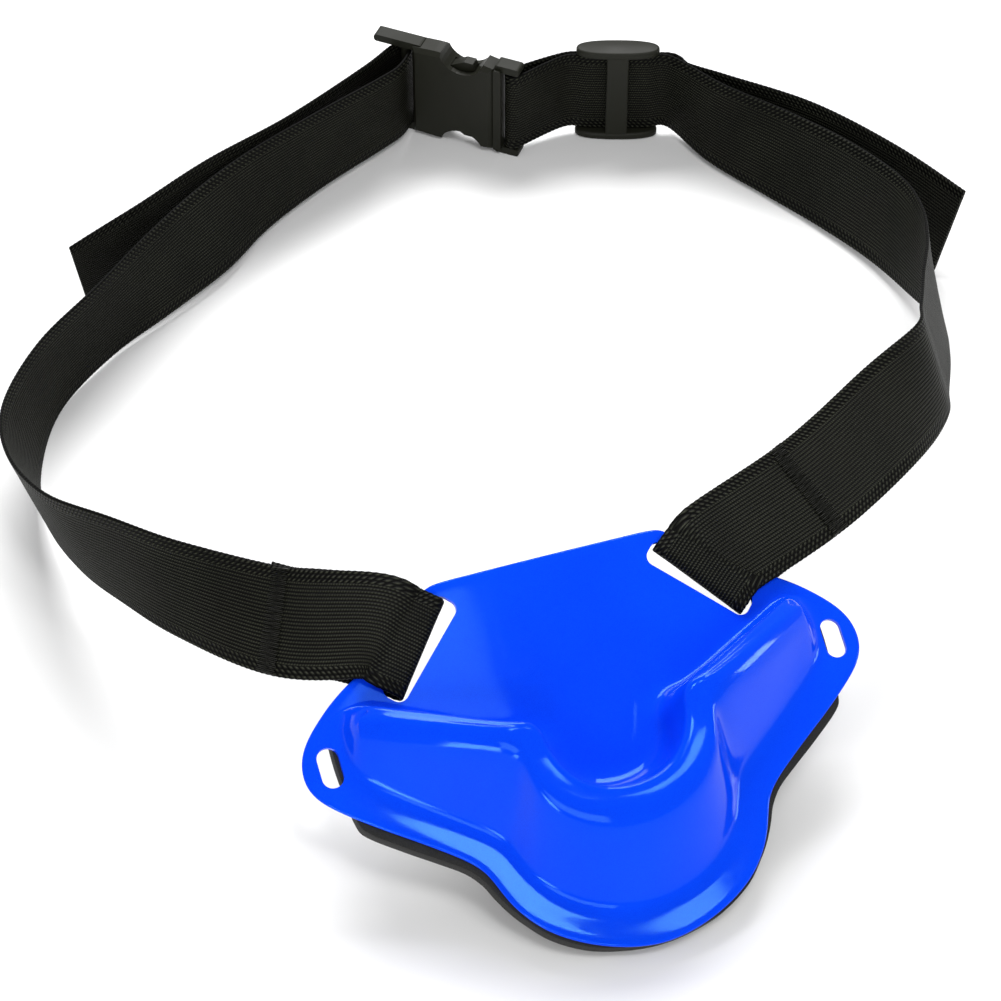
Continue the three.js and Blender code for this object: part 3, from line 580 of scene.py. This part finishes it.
def plate_stations():
    """Each station of the closed loop: top edge of the ridge, its rise, its foot, the cove end, the rim."""
    inner = []
    for across, up, rise, rim_across, rim_up, cove in INNER_ROWS:
        edge = Vector((across * PLATE_HALF_WIDTH, up * PLATE_LENGTH))
        rim = Vector((rim_across * PLATE_HALF_WIDTH, rim_up * PLATE_LENGTH))
        inner.append((edge, rise * RIDGE_HEIGHT, rim, cove * RIDGE_HEIGHT))
    half = []
    for i, (edge, rise, rim, cove) in enumerate(inner):
        before = inner[i - 1][0] if i else Vector((-inner[1][0].x, inner[1][0].y))
        after = inner[i + 1][0] if i + 1 < len(inner) else edge
        along = (after - before).normalized()
        inward = Vector((-along.y, along.x))
        foot = edge + inward * rise * WALL_DRAFT
        flat = foot + inward * cove
        half.append([*edge, rise, *foot, *flat, *rim, WAIST_EDGE_ROUND])
    for across, up, rise, foot_across, foot_up, rim_across, rim_up in OUTER_ROWS:
        edge = Vector((across * PLATE_HALF_WIDTH, up * PLATE_LENGTH))
        foot = Vector((foot_across * PLATE_HALF_WIDTH, foot_up * PLATE_LENGTH))
        rim = Vector((rim_across * PLATE_HALF_WIDTH, rim_up * PLATE_LENGTH))
        flat = foot.lerp(rim, OUTER_COVE / (rim - foot).length)
        half.append([*edge, rise * RIDGE_HEIGHT, *foot, *flat, *rim, OUTER_EDGE_ROUND])
    other = []
    for ex, ey, rise, fx, fy, cx, cy, rx, ry, bend in reversed(half[1:-1]):
        other.append([-ex, ey, rise, -fx, fy, -cx, cy, -rx, ry, bend])
    return half + other


def plate_section(row):
    """The shell's front at one station, from the top of the ridge out to the rim."""
    ex, ey, rise, fx, fy, cx, cy, rx, ry, edge_round = row
    top = Vector((ex, ey, rise))
    foot = Vector((fx, fy, 0.0))
    flat = Vector((cx, cy, 0.0))
    rim = Vector((rx, ry, 0.0))
    wall = foot - top
    plan = wall.xy.length
    bend = min(edge_round, rise * 0.4)
    back = top - Vector((wall.x, wall.y, 0.0)) / plan * bend
    down = top + wall.normalized() * bend
    cove = min((flat - foot).length, wall.length * 0.5)
    start = foot - wall.normalized() * cove
    inset = rim.lerp(flat, min(RIM_INSET / (rim - flat).length, 0.5))

    def curve(a, m, b, t):
        return a.lerp(m, t).lerp(m.lerp(b, t), t)

    section = [
        back,
        curve(back, top, down, 0.35),
        curve(back, top, down, 0.7),
        down,
        down.lerp(start, 0.5),
        start,
        curve(start, foot, flat, 0.3),
        curve(start, foot, flat, 0.6),
        flat,
        flat.lerp(inset, 0.4),
        inset,
        Vector((rx, ry, -RIM_DROP)),
    ]
    return [Vector((p.x, p.y, p.z + waist_drop(p.x))) for p in section]


def rounded_bar(long, wide, corner):
    """A closed bar shape standing along Z, its long side along X, for cutting."""
    outline = []
    for turn, (x, y) in enumerate(((1, 1), (-1, 1), (-1, -1), (1, -1))):
        middle = Vector((x * (long / 2 - corner), y * (wide / 2 - corner)))
        for k in range(CORNER_POINTS):
            angle = math.pi / 2 * (turn + k / (CORNER_POINTS - 1))
            outline.append(middle + Vector((math.cos(angle), math.sin(angle))) * corner)
    bm = bmesh.new()
    low = ring_of(bm, [(p.x, p.y, -CUT_BELOW) for p in outline])
    high = next_ring(bm, low, [(p.x, p.y, CUT_ABOVE) for p in outline])
    for end in (low, high):
        bmesh.ops.contextual_create(bm, geom=ring_edges(bm, end))
    return bm


def hole_cutter(side):
    """The slotted hole in one ear."""
    bm = rounded_bar(HOLE_LENGTH, HOLE_WIDTH, HOLE_WIDTH / 2 - 0.05)
    bmesh.ops.rotate(bm, verts=bm.verts, matrix=Matrix.Rotation(math.pi / 2, 3, "Z"))
    bmesh.ops.translate(bm, verts=bm.verts, vec=(side * HOLE_REACH, HOLE_UP, 0.0))
    return bm


def slot_cutter(side):
    """The slanted slot for one strap."""
    bm = rounded_bar(SLOT_LENGTH, SLOT_WIDTH, SLOT_CORNER)
    bmesh.ops.rotate(bm, verts=bm.verts, matrix=Matrix.Rotation(-SLOT_ANGLE * side, 3, "Z"))
    bmesh.ops.translate(bm, verts=bm.verts, vec=(SLOT_PLACE.x * side, SLOT_PLACE.y, 0.0))
    return bm


def cut_away(obj, cutters):
    """Cuts each closed shape out of the object."""
    for bm in cutters:
        for vert in bm.verts:
            vert.co = on_plate(vert.co)
        bmesh.ops.recalc_face_normals(bm, faces=bm.faces)
        cutter = new_object("cutter", bm)
        cut = obj.modifiers.new("cut", "BOOLEAN")
        cut.operation = "DIFFERENCE"
        cut.solver = "EXACT"
        cut.object = cutter
        bake_modifiers(obj)
        bpy.data.objects.remove(cutter)


def build_plate(material):
    sections = [plate_section(row) for row in smooth_rows(plate_stations(), PLATE_STEPS, True)]
    count = len(sections)
    half = count // 2
    bm = bmesh.new()
    ring = ring_of(bm, [on_plate(section[0]) for section in sections])
    crest = list(ring)
    for level in range(1, len(sections[0])):
        ring = next_ring(bm, ring, [on_plate(section[level]) for section in sections])
    # The ridge's flat top joins its waist side to its outer side
    reach = half // 2 - 1
    waist_side = [bm.edges.get((crest[k], crest[k + 1])) for k in range(-reach, reach)]
    outer_side = [bm.edges.get((crest[half + k], crest[half + k + 1])) for k in range(-reach, reach)]
    bmesh.ops.bridge_loops(bm, edges=waist_side + outer_side)
    for tip in (half // 2, half + half // 2):
        trio = [crest[tip - 1], crest[tip], crest[(tip + 1) % count]]
        bmesh.ops.contextual_create(bm, geom=trio)
    bmesh.ops.recalc_face_normals(bm, faces=bm.faces)
    flange = max(bm.faces, key=lambda face: face.calc_area())
    if flange.normal.z < 0:
        bmesh.ops.reverse_faces(bm, faces=bm.faces)
    plate = new_object("plate_shell", bm, material)
    wall = plate.modifiers.new("wall", "SOLIDIFY")
    wall.thickness = SHELL * MM
    wall.offset = -1.0
    wall.use_even_offset = True
    soft = plate.modifiers.new("soft", "SUBSURF")
    soft.levels = 2
    soft.render_levels = 2
    bake_modifiers(plate)
    cut_away(plate, [make(side) for side in (1, -1) for make in (slot_cutter, hole_cutter)])
    smooth_faces(plate, 38)
    belongs(plate, "shell", "plate")


# Foam pad


def build_pad(material):
    half = [[a * PLATE_HALF_WIDTH, u * PLATE_LENGTH] for a, u in PAD_ROWS]
    outline = half + [[-x, y] for x, y in reversed(half[1:-1])]
    outline = smooth_rows(outline, PAD_STEPS, True)
    low = -PAD_BACK
    bm = bmesh.new()
    ring_of(bm, [Vector((x, y, low)) for x, y in outline])
    bmesh.ops.contextual_create(bm, geom=list(bm.edges))
    steps = int(PLATE_HALF_WIDTH / PAD_STRIP)
    for axis in (0, 1):
        for k in range(-steps, steps + 1):
            spot = [0.0, 0.0, 0.0]
            spot[axis] = k * PAD_STRIP + PAD_STRIP_OFFSET
            way = [0.0, 0.0, 0.0]
            way[axis] = 1.0
            bmesh.ops.bisect_plane(
                bm, geom=list(bm.verts) + list(bm.edges) + list(bm.faces),
                dist=0.001, plane_co=spot, plane_no=way,
            )
    made = bmesh.ops.extrude_face_region(bm, geom=list(bm.faces))["geom"]
    top = [item for item in made if isinstance(item, bmesh.types.BMVert)]
    bmesh.ops.translate(bm, verts=top, vec=(0.0, 0.0, PAD_THICKNESS))
    bmesh.ops.recalc_face_normals(bm, faces=bm.faces)
    corners = [e for e in bm.edges if e.is_manifold and e.calc_face_angle(0.0) > math.radians(60)
               and abs(e.verts[0].co.z - e.verts[1].co.z) < 0.01]
    bmesh.ops.bevel(bm, geom=corners, offset=PAD_EDGE, offset_type="OFFSET", segments=2, profile=0.5,
                    affect="EDGES", clamp_overlap=True)
    for vert in bm.verts:
        x, y, z = vert.co
        vert.co = on_plate((x, y, z + waist_drop(x)))
    pad = new_object("foam_pad_soft", bm, material)
    smooth_faces(pad, 50)
    belongs(pad, "foam", "foam_pad")


# Webbing


def way_up(lean_across, lean_away):
    return Vector((lean_across, lean_away, math.sqrt(max(1 - lean_across**2 - lean_away**2, 0.0))))


def strap_station(row):
    across, away, rise, lean_across, lean_away = row
    middle = Vector((across * LOOP_WIDTH, away * LOOP_DEPTH, rise * WEBBING_WIDTH))
    return middle, way_up(lean_across, lean_away)


def steps_from(start, rows):
    return [(start + Vector(row[:3]) * WEBBING_WIDTH, way_up(*row[3:])) for row in rows]


def smooth_stations(stations, substeps):
    rows = [[*middle, *up] for middle, up in stations]
    return [(Vector(row[:3]), Vector(row[3:]).normalized()) for row in smooth_rows(rows, substeps)]


def slot_turn(side):
    """The turn through the plate's slot, from behind the bar to the front of it."""
    outward = Vector((math.cos(SLOT_ANGLE), math.sin(SLOT_ANGLE)))
    upward = Vector((-math.sin(SLOT_ANGLE), math.cos(SLOT_ANGLE)))
    turn = SHELL / 2 + SLOT_PLAY + WEBBING_THICKNESS / 2
    axis = upward * math.cos(FOLD_SKEW) + outward * math.sin(FOLD_SKEW)
    away = Vector((axis.y, -axis.x))
    middle = SLOT_PLACE + outward * FOLD_OUT

    def on_shell(place, height):
        return lean_back((side * place.x, place.y, waist_drop(place.x) - SHELL / 2 + height))

    def at(reach, height):
        return on_shell(middle + away * reach, height)

    up = on_shell(middle + axis * WEBBING_WIDTH / 2, 0.0) - on_shell(middle - axis * WEBBING_WIDTH / 2, 0.0)
    up.normalize()
    arc = []
    for angle in (-90, -110, -130, -155, 180, 155, 130, 110, 90):
        bend = math.radians(angle)
        arc.append((at(turn * math.cos(bend), turn * math.sin(bend)), up))
    behind = (at(BAR_REACH, -turn - LAYER_GAP), up)
    front = (at(BAR_REACH, turn + 2 * LAYER_GAP), up)
    return behind, arc, front


def folded_end(main, front):
    """The folded-back end behind the first stretch of the strap, deeper where the plate is between."""
    line = [front] + main[:4]
    lengths = [0.0]
    for i in range(1, len(line)):
        lengths.append(lengths[-1] + (line[i][0] - line[i - 1][0]).length)
    out = []
    for share in (1, 0.82, 0.64, 0.45):
        target = share * FOLD_LENGTH - BAR_REACH
        i = 1
        while i < len(line) - 1 and lengths[i] < target:
            i += 1
        t = (target - lengths[i - 1]) / (lengths[i] - lengths[i - 1])
        middle = line[i - 1][0].lerp(line[i][0], t)
        up = line[i - 1][1].lerp(line[i][1], t).normalized()
        face = up.cross((line[i][0] - line[i - 1][0]).normalized()).normalized()
        if face.z < 0:
            face.negate()
        under = (share * FOLD_LENGTH - BAR_RUN) / (FOLD_LENGTH - BAR_RUN)
        spread = max(0.0, 1 - max(under, 0.0) * 1.5) * (SHELL + LAYER_GAP)
        out.append((middle - face * (WEBBING_THICKNESS + LAYER_GAP + spread), up))
    return out


def bar_turn(centre, angles):
    """The webbing round a buckle bar."""
    turn = BAR_SIZE / 2 + FIT_CLEARANCE + WEBBING_THICKNESS / 2
    out = []
    for angle in angles:
        bend = math.radians(angle)
        spot = (centre[0] + turn * math.cos(bend), centre[1] + turn * math.sin(bend), BUCKLE_HEIGHT / 2)
        out.append((Vector(spot), Vector((0.0, 0.0, 1.0))))
    return out


def buckle_point(reach):
    return (
        BUCKLE_PLACE[0] + math.cos(BUCKLE_HEADING) * reach,
        BUCKLE_PLACE[1] + math.sin(BUCKLE_HEADING) * reach,
    )


SOCKET_BAR = buckle_point(-SOCKET_BAR_REACH)
PLUG_BAR = buckle_point(PLUG_BAR_REACH)
GLIDE_PLACE = Vector(PLUG_BAR) + Vector(GLIDE_STEP)


def glide_point(reach, out):
    along = Vector((math.cos(GLIDE_HEADING), math.sin(GLIDE_HEADING)))
    place = GLIDE_PLACE + along * reach + Vector((-along.y, along.x)) * out
    return Vector((place.x, place.y, BUCKLE_HEIGHT / 2)), Vector((0.0, 0.0, 1.0))


def slot_start(side, steps, rows):
    """Stations from the folded end to the slot, round its bar, and on to the last of the rows."""
    behind, arc, front = slot_turn(side)
    main = steps_from(front[0], steps) + [strap_station(row) for row in rows]
    start = smooth_stations(folded_end(main, front) + [behind, arc[0]], STRAP_STEPS) + arc[1:-1]
    return start, [arc[-1], front] + main


def left_strap_line():
    start, main = slot_start(-1, LEFT_SLOT_STEPS, LEFT_ROWS)
    middle = Vector((*SOCKET_BAR, BUCKLE_HEIGHT / 2))
    near = steps_from(middle, LEFT_BAR_STEPS)
    bar = bar_turn(SOCKET_BAR, (-45, -10, 30, 65, 95, 120))
    tail = steps_from(middle, LEFT_TAIL_STEPS) + [strap_station(row) for row in LEFT_TAIL_ROWS]
    line = start + smooth_stations(main + near + [bar[0]], STRAP_STEPS)
    line += smooth_stations(bar, BAR_STEPS)[1:]
    line += smooth_stations([bar[-1]] + tail, STRAP_STEPS)[1:]
    return line, len(start)


def right_strap_line():
    start, main = slot_start(1, RIGHT_SLOT_STEPS, RIGHT_ROWS)
    middle = Vector((*GLIDE_PLACE, BUCKLE_HEIGHT / 2))
    pitch = (WEBBING_THICKNESS + LAYER_GAP) / 2
    reaches = [share * GLIDE_LENGTH / 2 for share in (-1.3, -0.7, 0.0, 0.7, 1.3)]
    far = [glide_point(reach, pitch) for reach in reaches]
    near = [glide_point(reach, -pitch) for reach in reversed(reaches)]
    lead = steps_from(middle, RIGHT_GLIDE_STEPS)
    bar = bar_turn(PLUG_BAR, (268, 232, 196, 160, 124, 96))
    tail = steps_from(middle, RIGHT_TAIL_STEPS) + [strap_station(row) for row in RIGHT_TAIL_ROWS]
    line = start + smooth_stations(main + lead + near + [bar[0]], STRAP_STEPS)
    line += smooth_stations(bar, BAR_STEPS)[1:]
    line += smooth_stations([bar[-1]] + far + tail, STRAP_STEPS)[1:]
    return line, len(start)


def strap_frames(line):
    """Middle, way up and way out of the webbing at each station, and the length so far."""
    out = []
    length = 0.0
    for i, (middle, up) in enumerate(line):
        along = (line[min(i + 1, len(line) - 1)][0] - line[max(i - 1, 0)][0]).normalized()
        up = (up - along * up.dot(along)).normalized()
        if i:
            length += (middle - line[i - 1][0]).length
        out.append((middle, up, along.cross(up).normalized(), length))
    return out


def even_frames(line):
    """Frames at even steps along the webbing, close enough for its woven edge."""
    frames = strap_frames(line)
    count = int(frames[-1][3] / RING_STEP)
    out = []
    i = 1
    for k in range(count + 1):
        length = frames[-1][3] * k / count
        while i < len(frames) - 1 and frames[i][3] < length:
            i += 1
        near, far = frames[i - 1], frames[i]
        t = (length - near[3]) / (far[3] - near[3])
        up = near[1].lerp(far[1], t).normalized()
        out.append((near[0].lerp(far[0], t), up, near[2].lerp(far[2], t).normalized(), length))
    return out


def webbing_section():
    """The outline of the webbing's cut end: across and out, all the way round."""
    half = WEBBING_WIDTH / 2
    thick = WEBBING_THICKNESS / 2
    side = [
        (half, 0.45), (half - 0.35, 0.85), (half - 1.0, 1.0), (half - 6.0, 1.0), (half - 7.0, 0.92),
        (half - 17.0, 0.95), (0.0, 0.97),
    ]
    upper = side + [(-across, out) for across, out in reversed(side[:-1])]
    lower = [(across, -out) for across, out in reversed(upper)]
    return [(across, out * thick) for across, out in upper + lower]


def build_strap(name, line, material, node):
    section = webbing_section()
    rings = even_frames(line)
    around = len(section)
    limit = WEBBING_WIDTH / 2 - SCALLOP_BAND
    bm = bmesh.new()
    bmesh.ops.create_grid(bm, x_segments=len(rings) - 1, y_segments=around, size=1.0)
    chart = bm.verts.layers.float_vector.new("place_on_strap")
    for vert in bm.verts:
        middle, up, face, length = rings[round((vert.co.x + 1) / 2 * (len(rings) - 1))]
        across, out = section[round((vert.co.y + 1) / 2 * around) % around]
        wave = SCALLOP * (0.5 - 0.5 * math.cos(2 * math.pi * length * MM / BRAID_PITCH))
        inset = math.copysign(wave, across) if abs(across) > limit else 0.0
        vert.co = on_table(middle + up * (across - inset) + face * out)
        vert[chart] = (across * MM, length * MM, 0.0)
    bmesh.ops.remove_doubles(bm, verts=bm.verts, dist=0.000001)
    open_edges = [edge for edge in bm.edges if edge.is_boundary]
    bmesh.ops.holes_fill(bm, edges=open_edges, sides=0)
    bmesh.ops.recalc_face_normals(bm, faces=bm.faces)
    weave = bm.loops.layers.uv.new("weave")
    for face in bm.faces:
        for loop in face.loops:
            loop[weave].uv = loop.vert[chart].xy
    strap = new_object(name, bm, material)
    smooth_faces(strap, 50)
    belongs(strap, "webbing", node)


# Bar tacks


def tack_places(frames, start, side):
    """Corners of the zigzag thread on the webbing's face, and the way out of that face."""
    places = []
    for turn in range(2 * TACK_TURNS + 1):
        across = (turn / (2 * TACK_TURNS) - 0.5) * (WEBBING_WIDTH - 2 * TACK_MARGIN)
        length = start + TACK_WIDTH / 2 * (1 if turn % 2 else -1)
        length += TACK_WANDER * math.sin(turn * WANDER_TURN)
        i = next(k for k in range(1, len(frames)) if frames[k][3] >= length)
        t = (length - frames[i - 1][3]) / (frames[i][3] - frames[i - 1][3])
        middle, up, face = (frames[i - 1][part].lerp(frames[i][part], t) for part in range(3))
        face = face.normalized() * side
        spot = middle + up.normalized() * across + face * (WEBBING_THICKNESS / 2 + THREAD_LIFT)
        places.append((spot, face))
    return places


def build_tack(name, line, slot_at, material, side):
    """The zigzag of thread across a strap that holds its folded end."""
    frames = strap_frames(line)
    places = tack_places(frames, frames[slot_at][3] + TACK_PLACE, side)
    bm = bmesh.new()
    rings = []
    for i, (spot, face) in enumerate(places):
        ahead = places[min(i + 1, len(places) - 1)][0] - places[max(i - 1, 0)][0]
        away = face.cross(ahead.normalized()).normalized()
        loop = []
        for k in range(THREAD_SIDES):
            bend = 2 * math.pi * k / THREAD_SIDES
            loop.append(on_table(spot + (away * math.cos(bend) + face * math.sin(bend)) * THREAD_SIZE / 2))
        rings.append(next_ring(bm, rings[-1], loop) if rings else ring_of(bm, loop))
    for end in (rings[0], rings[-1]):
        bmesh.ops.contextual_create(bm, geom=ring_edges(bm, end))
    bmesh.ops.recalc_face_normals(bm, faces=bm.faces)
    tack = new_object(name, bm, material)
    smooth_faces(tack, 60)
    belongs(tack, "webbing")


# Tri-glide


def sort_edges(bm, verts):
    """The edges between the verts that lie level, and those that stand up."""
    mine = set(verts)
    level = []
    upright = []
    for edge in bm.edges:
        if edge.verts[0] in mine:
            flat = abs(edge.verts[0].co.z - edge.verts[1].co.z) < 0.001
            (level if flat else upright).append(edge)
    return level, upright


def round_edges(bm, edges, size, segments):
    bmesh.ops.bevel(bm, geom=edges, offset=size, offset_type="OFFSET", segments=segments, profile=0.5,
                    affect="EDGES", clamp_overlap=True)


def glide_end(bm, end):
    """A domed oval end, above or below the webbing."""
    made = bmesh.ops.create_cone(bm, cap_ends=True, segments=72, radius1=1.0, radius2=1.0, depth=1.0)
    for vert in made["verts"]:
        x, y, z = vert.co
        x = math.copysign(abs(x) ** GLIDE_END_FULLNESS, x) * GLIDE_LENGTH / 2
        y = math.copysign(abs(y) ** GLIDE_END_FULLNESS, y) * GLIDE_DEPTH / 2
        vert.co = (x, y, z * GLIDE_RAIL + end * (GLIDE_HEIGHT - GLIDE_RAIL) / 2)
    level, _ = sort_edges(bm, made["verts"])
    round_edges(bm, level, GLIDE_END_ROUND, 4)


def glide_bar(bm, reach, wide, out):
    """An upright bar, set into both ends."""
    made = bmesh.ops.create_cube(bm, size=1.0)
    bmesh.ops.scale(bm, verts=made["verts"], vec=(wide, GLIDE_BAR, GLIDE_HEIGHT - 2 * GLIDE_BAR_SET))
    bmesh.ops.translate(bm, verts=made["verts"], vec=(reach, out, 0.0))
    _, upright = sort_edges(bm, made["verts"])
    round_edges(bm, upright, GLIDE_BAR_ROUND, 3)


def build_glide(material):
    """Two domed ends, the bar in front of the webbing and the two bars behind it."""
    bm = bmesh.new()
    for end in (1, -1):
        glide_end(bm, end)
    front = WEBBING_THICKNESS + LAYER_GAP / 2 + GLIDE_CLEARANCE + GLIDE_BAR / 2
    glide_bar(bm, 0.0, GLIDE_CENTRE_BAR, -front)
    for side in (1, -1):
        glide_bar(bm, side * GLIDE_SIDE_REACH, GLIDE_SIDE_BAR, front)
    turn = Matrix.Rotation(GLIDE_HEADING, 3, "Z")
    middle = Vector((GLIDE_PLACE.x, GLIDE_PLACE.y, GLIDE_HEIGHT / 2))
    for vert in bm.verts:
        vert.co = on_table(turn @ vert.co + middle)
    glide = new_object("tri_glide_moulding", bm, material)
    smooth_faces(glide, 35)
    belongs(glide, "hardware", "tri_glide")


# Put the belt together

shell = glossy_blue_shell()
foam = black_foam()
webbing = black_webbing()
thread = stitching_thread()
plastic = black_moulded_plastic()

build_plate(shell)
build_pad(foam)
left_line, left_slot = left_strap_line()
right_line, right_slot = right_strap_line()
build_strap("strap_left_webbing", left_line, webbing, "strap_left")
build_strap("strap_right_webbing", right_line, webbing, "strap_right")
build_tack("bar_tack_left", left_line, left_slot, thread, -1)
build_tack("bar_tack_right", right_line, right_slot, thread, 1)
build_glide(plastic)
for node in ("buckle_socket", "buckle_plug"):
    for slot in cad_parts[node].material_slots:
        slot.material = plastic


# Floor, light and camera, in metres

FLOOR_HALF = 6.0
LIGHT_AIM = Vector((-0.04, -0.10, 0.04))
CAMERA_PLACE = (-0.4255, -1.1826, 1.284)
CAMERA_WAY = (0.2233, 0.6578, -0.7193)
CAMERA_LENS = 129.5

# Each softbox: turn about +Z and rise off the table in degrees, distance, width, height, watts
SOFTBOXES = {
    "back_overhead": (80, 48, 2.6, 1.8, 1.0, 80.0),
    "left_strip": (227, 6, 1.8, 0.40, 0.35, 8.0),
    "front_bar_left": (274, 67, 2.3, 0.40, 0.36, 9.5),
    "front_faint": (272, 76, 2.3, 0.48, 0.24, 1.4),
    "front_fill": (250, 22, 2.6, 1.5, 0.8, 20.0),
    "front_bar_right": (304, 60, 2.3, 0.24, 0.32, 3.6),
    "right_strip": (-16, 7, 1.8, 0.30, 0.35, 5.5),
}


def lay_floor():
    bm = bmesh.new()
    bmesh.ops.create_grid(bm, x_segments=4, y_segments=4, size=FLOOR_HALF)
    floor = new_object("floor", bm, pale_floor())


def hang_softbox(name, turn, rise, distance, width, height, watts):
    """A softbox that faces the plate."""
    light = bpy.data.lights.new(name, "AREA")
    light.shape = "RECTANGLE"
    light.size = width
    light.size_y = height
    light.energy = watts
    heading = math.radians(turn)
    lift = math.radians(rise)
    way = Vector((math.cos(heading) * math.cos(lift), math.sin(heading) * math.cos(lift), math.sin(lift)))
    lamp = bpy.data.objects.new(name, light)
    lamp.location = LIGHT_AIM + way * distance
    lamp.rotation_euler = (-way).to_track_quat("-Z", "Y").to_euler()
    bpy.context.scene.collection.objects.link(lamp)


def fill_world():
    world = bpy.data.worlds.new("studio")
    bpy.context.scene.world = world
    world.use_nodes = True
    background = world.node_tree.nodes["Background"]
    background.inputs["Color"].default_value = (1.0, 1.0, 1.0, 1.0)
    background.inputs["Strength"].default_value = 0.42


def set_camera():
    camera_data = bpy.data.cameras.new("camera")
    camera_data.lens = CAMERA_LENS
    camera_data.sensor_width = 36.0
    camera_data.clip_end = 50.0
    camera = bpy.data.objects.new("camera", camera_data)
    camera.location = CAMERA_PLACE
    camera.rotation_euler = Vector(CAMERA_WAY).to_track_quat("-Z", "Y").to_euler()
    bpy.context.scene.collection.objects.link(camera)
    bpy.context.scene.camera = camera


lay_floor()
for name, values in SOFTBOXES.items():
    hang_softbox(name, *values)
fill_world()
set_camera()
bpy.context.scene.view_settings.view_transform = "Standard"
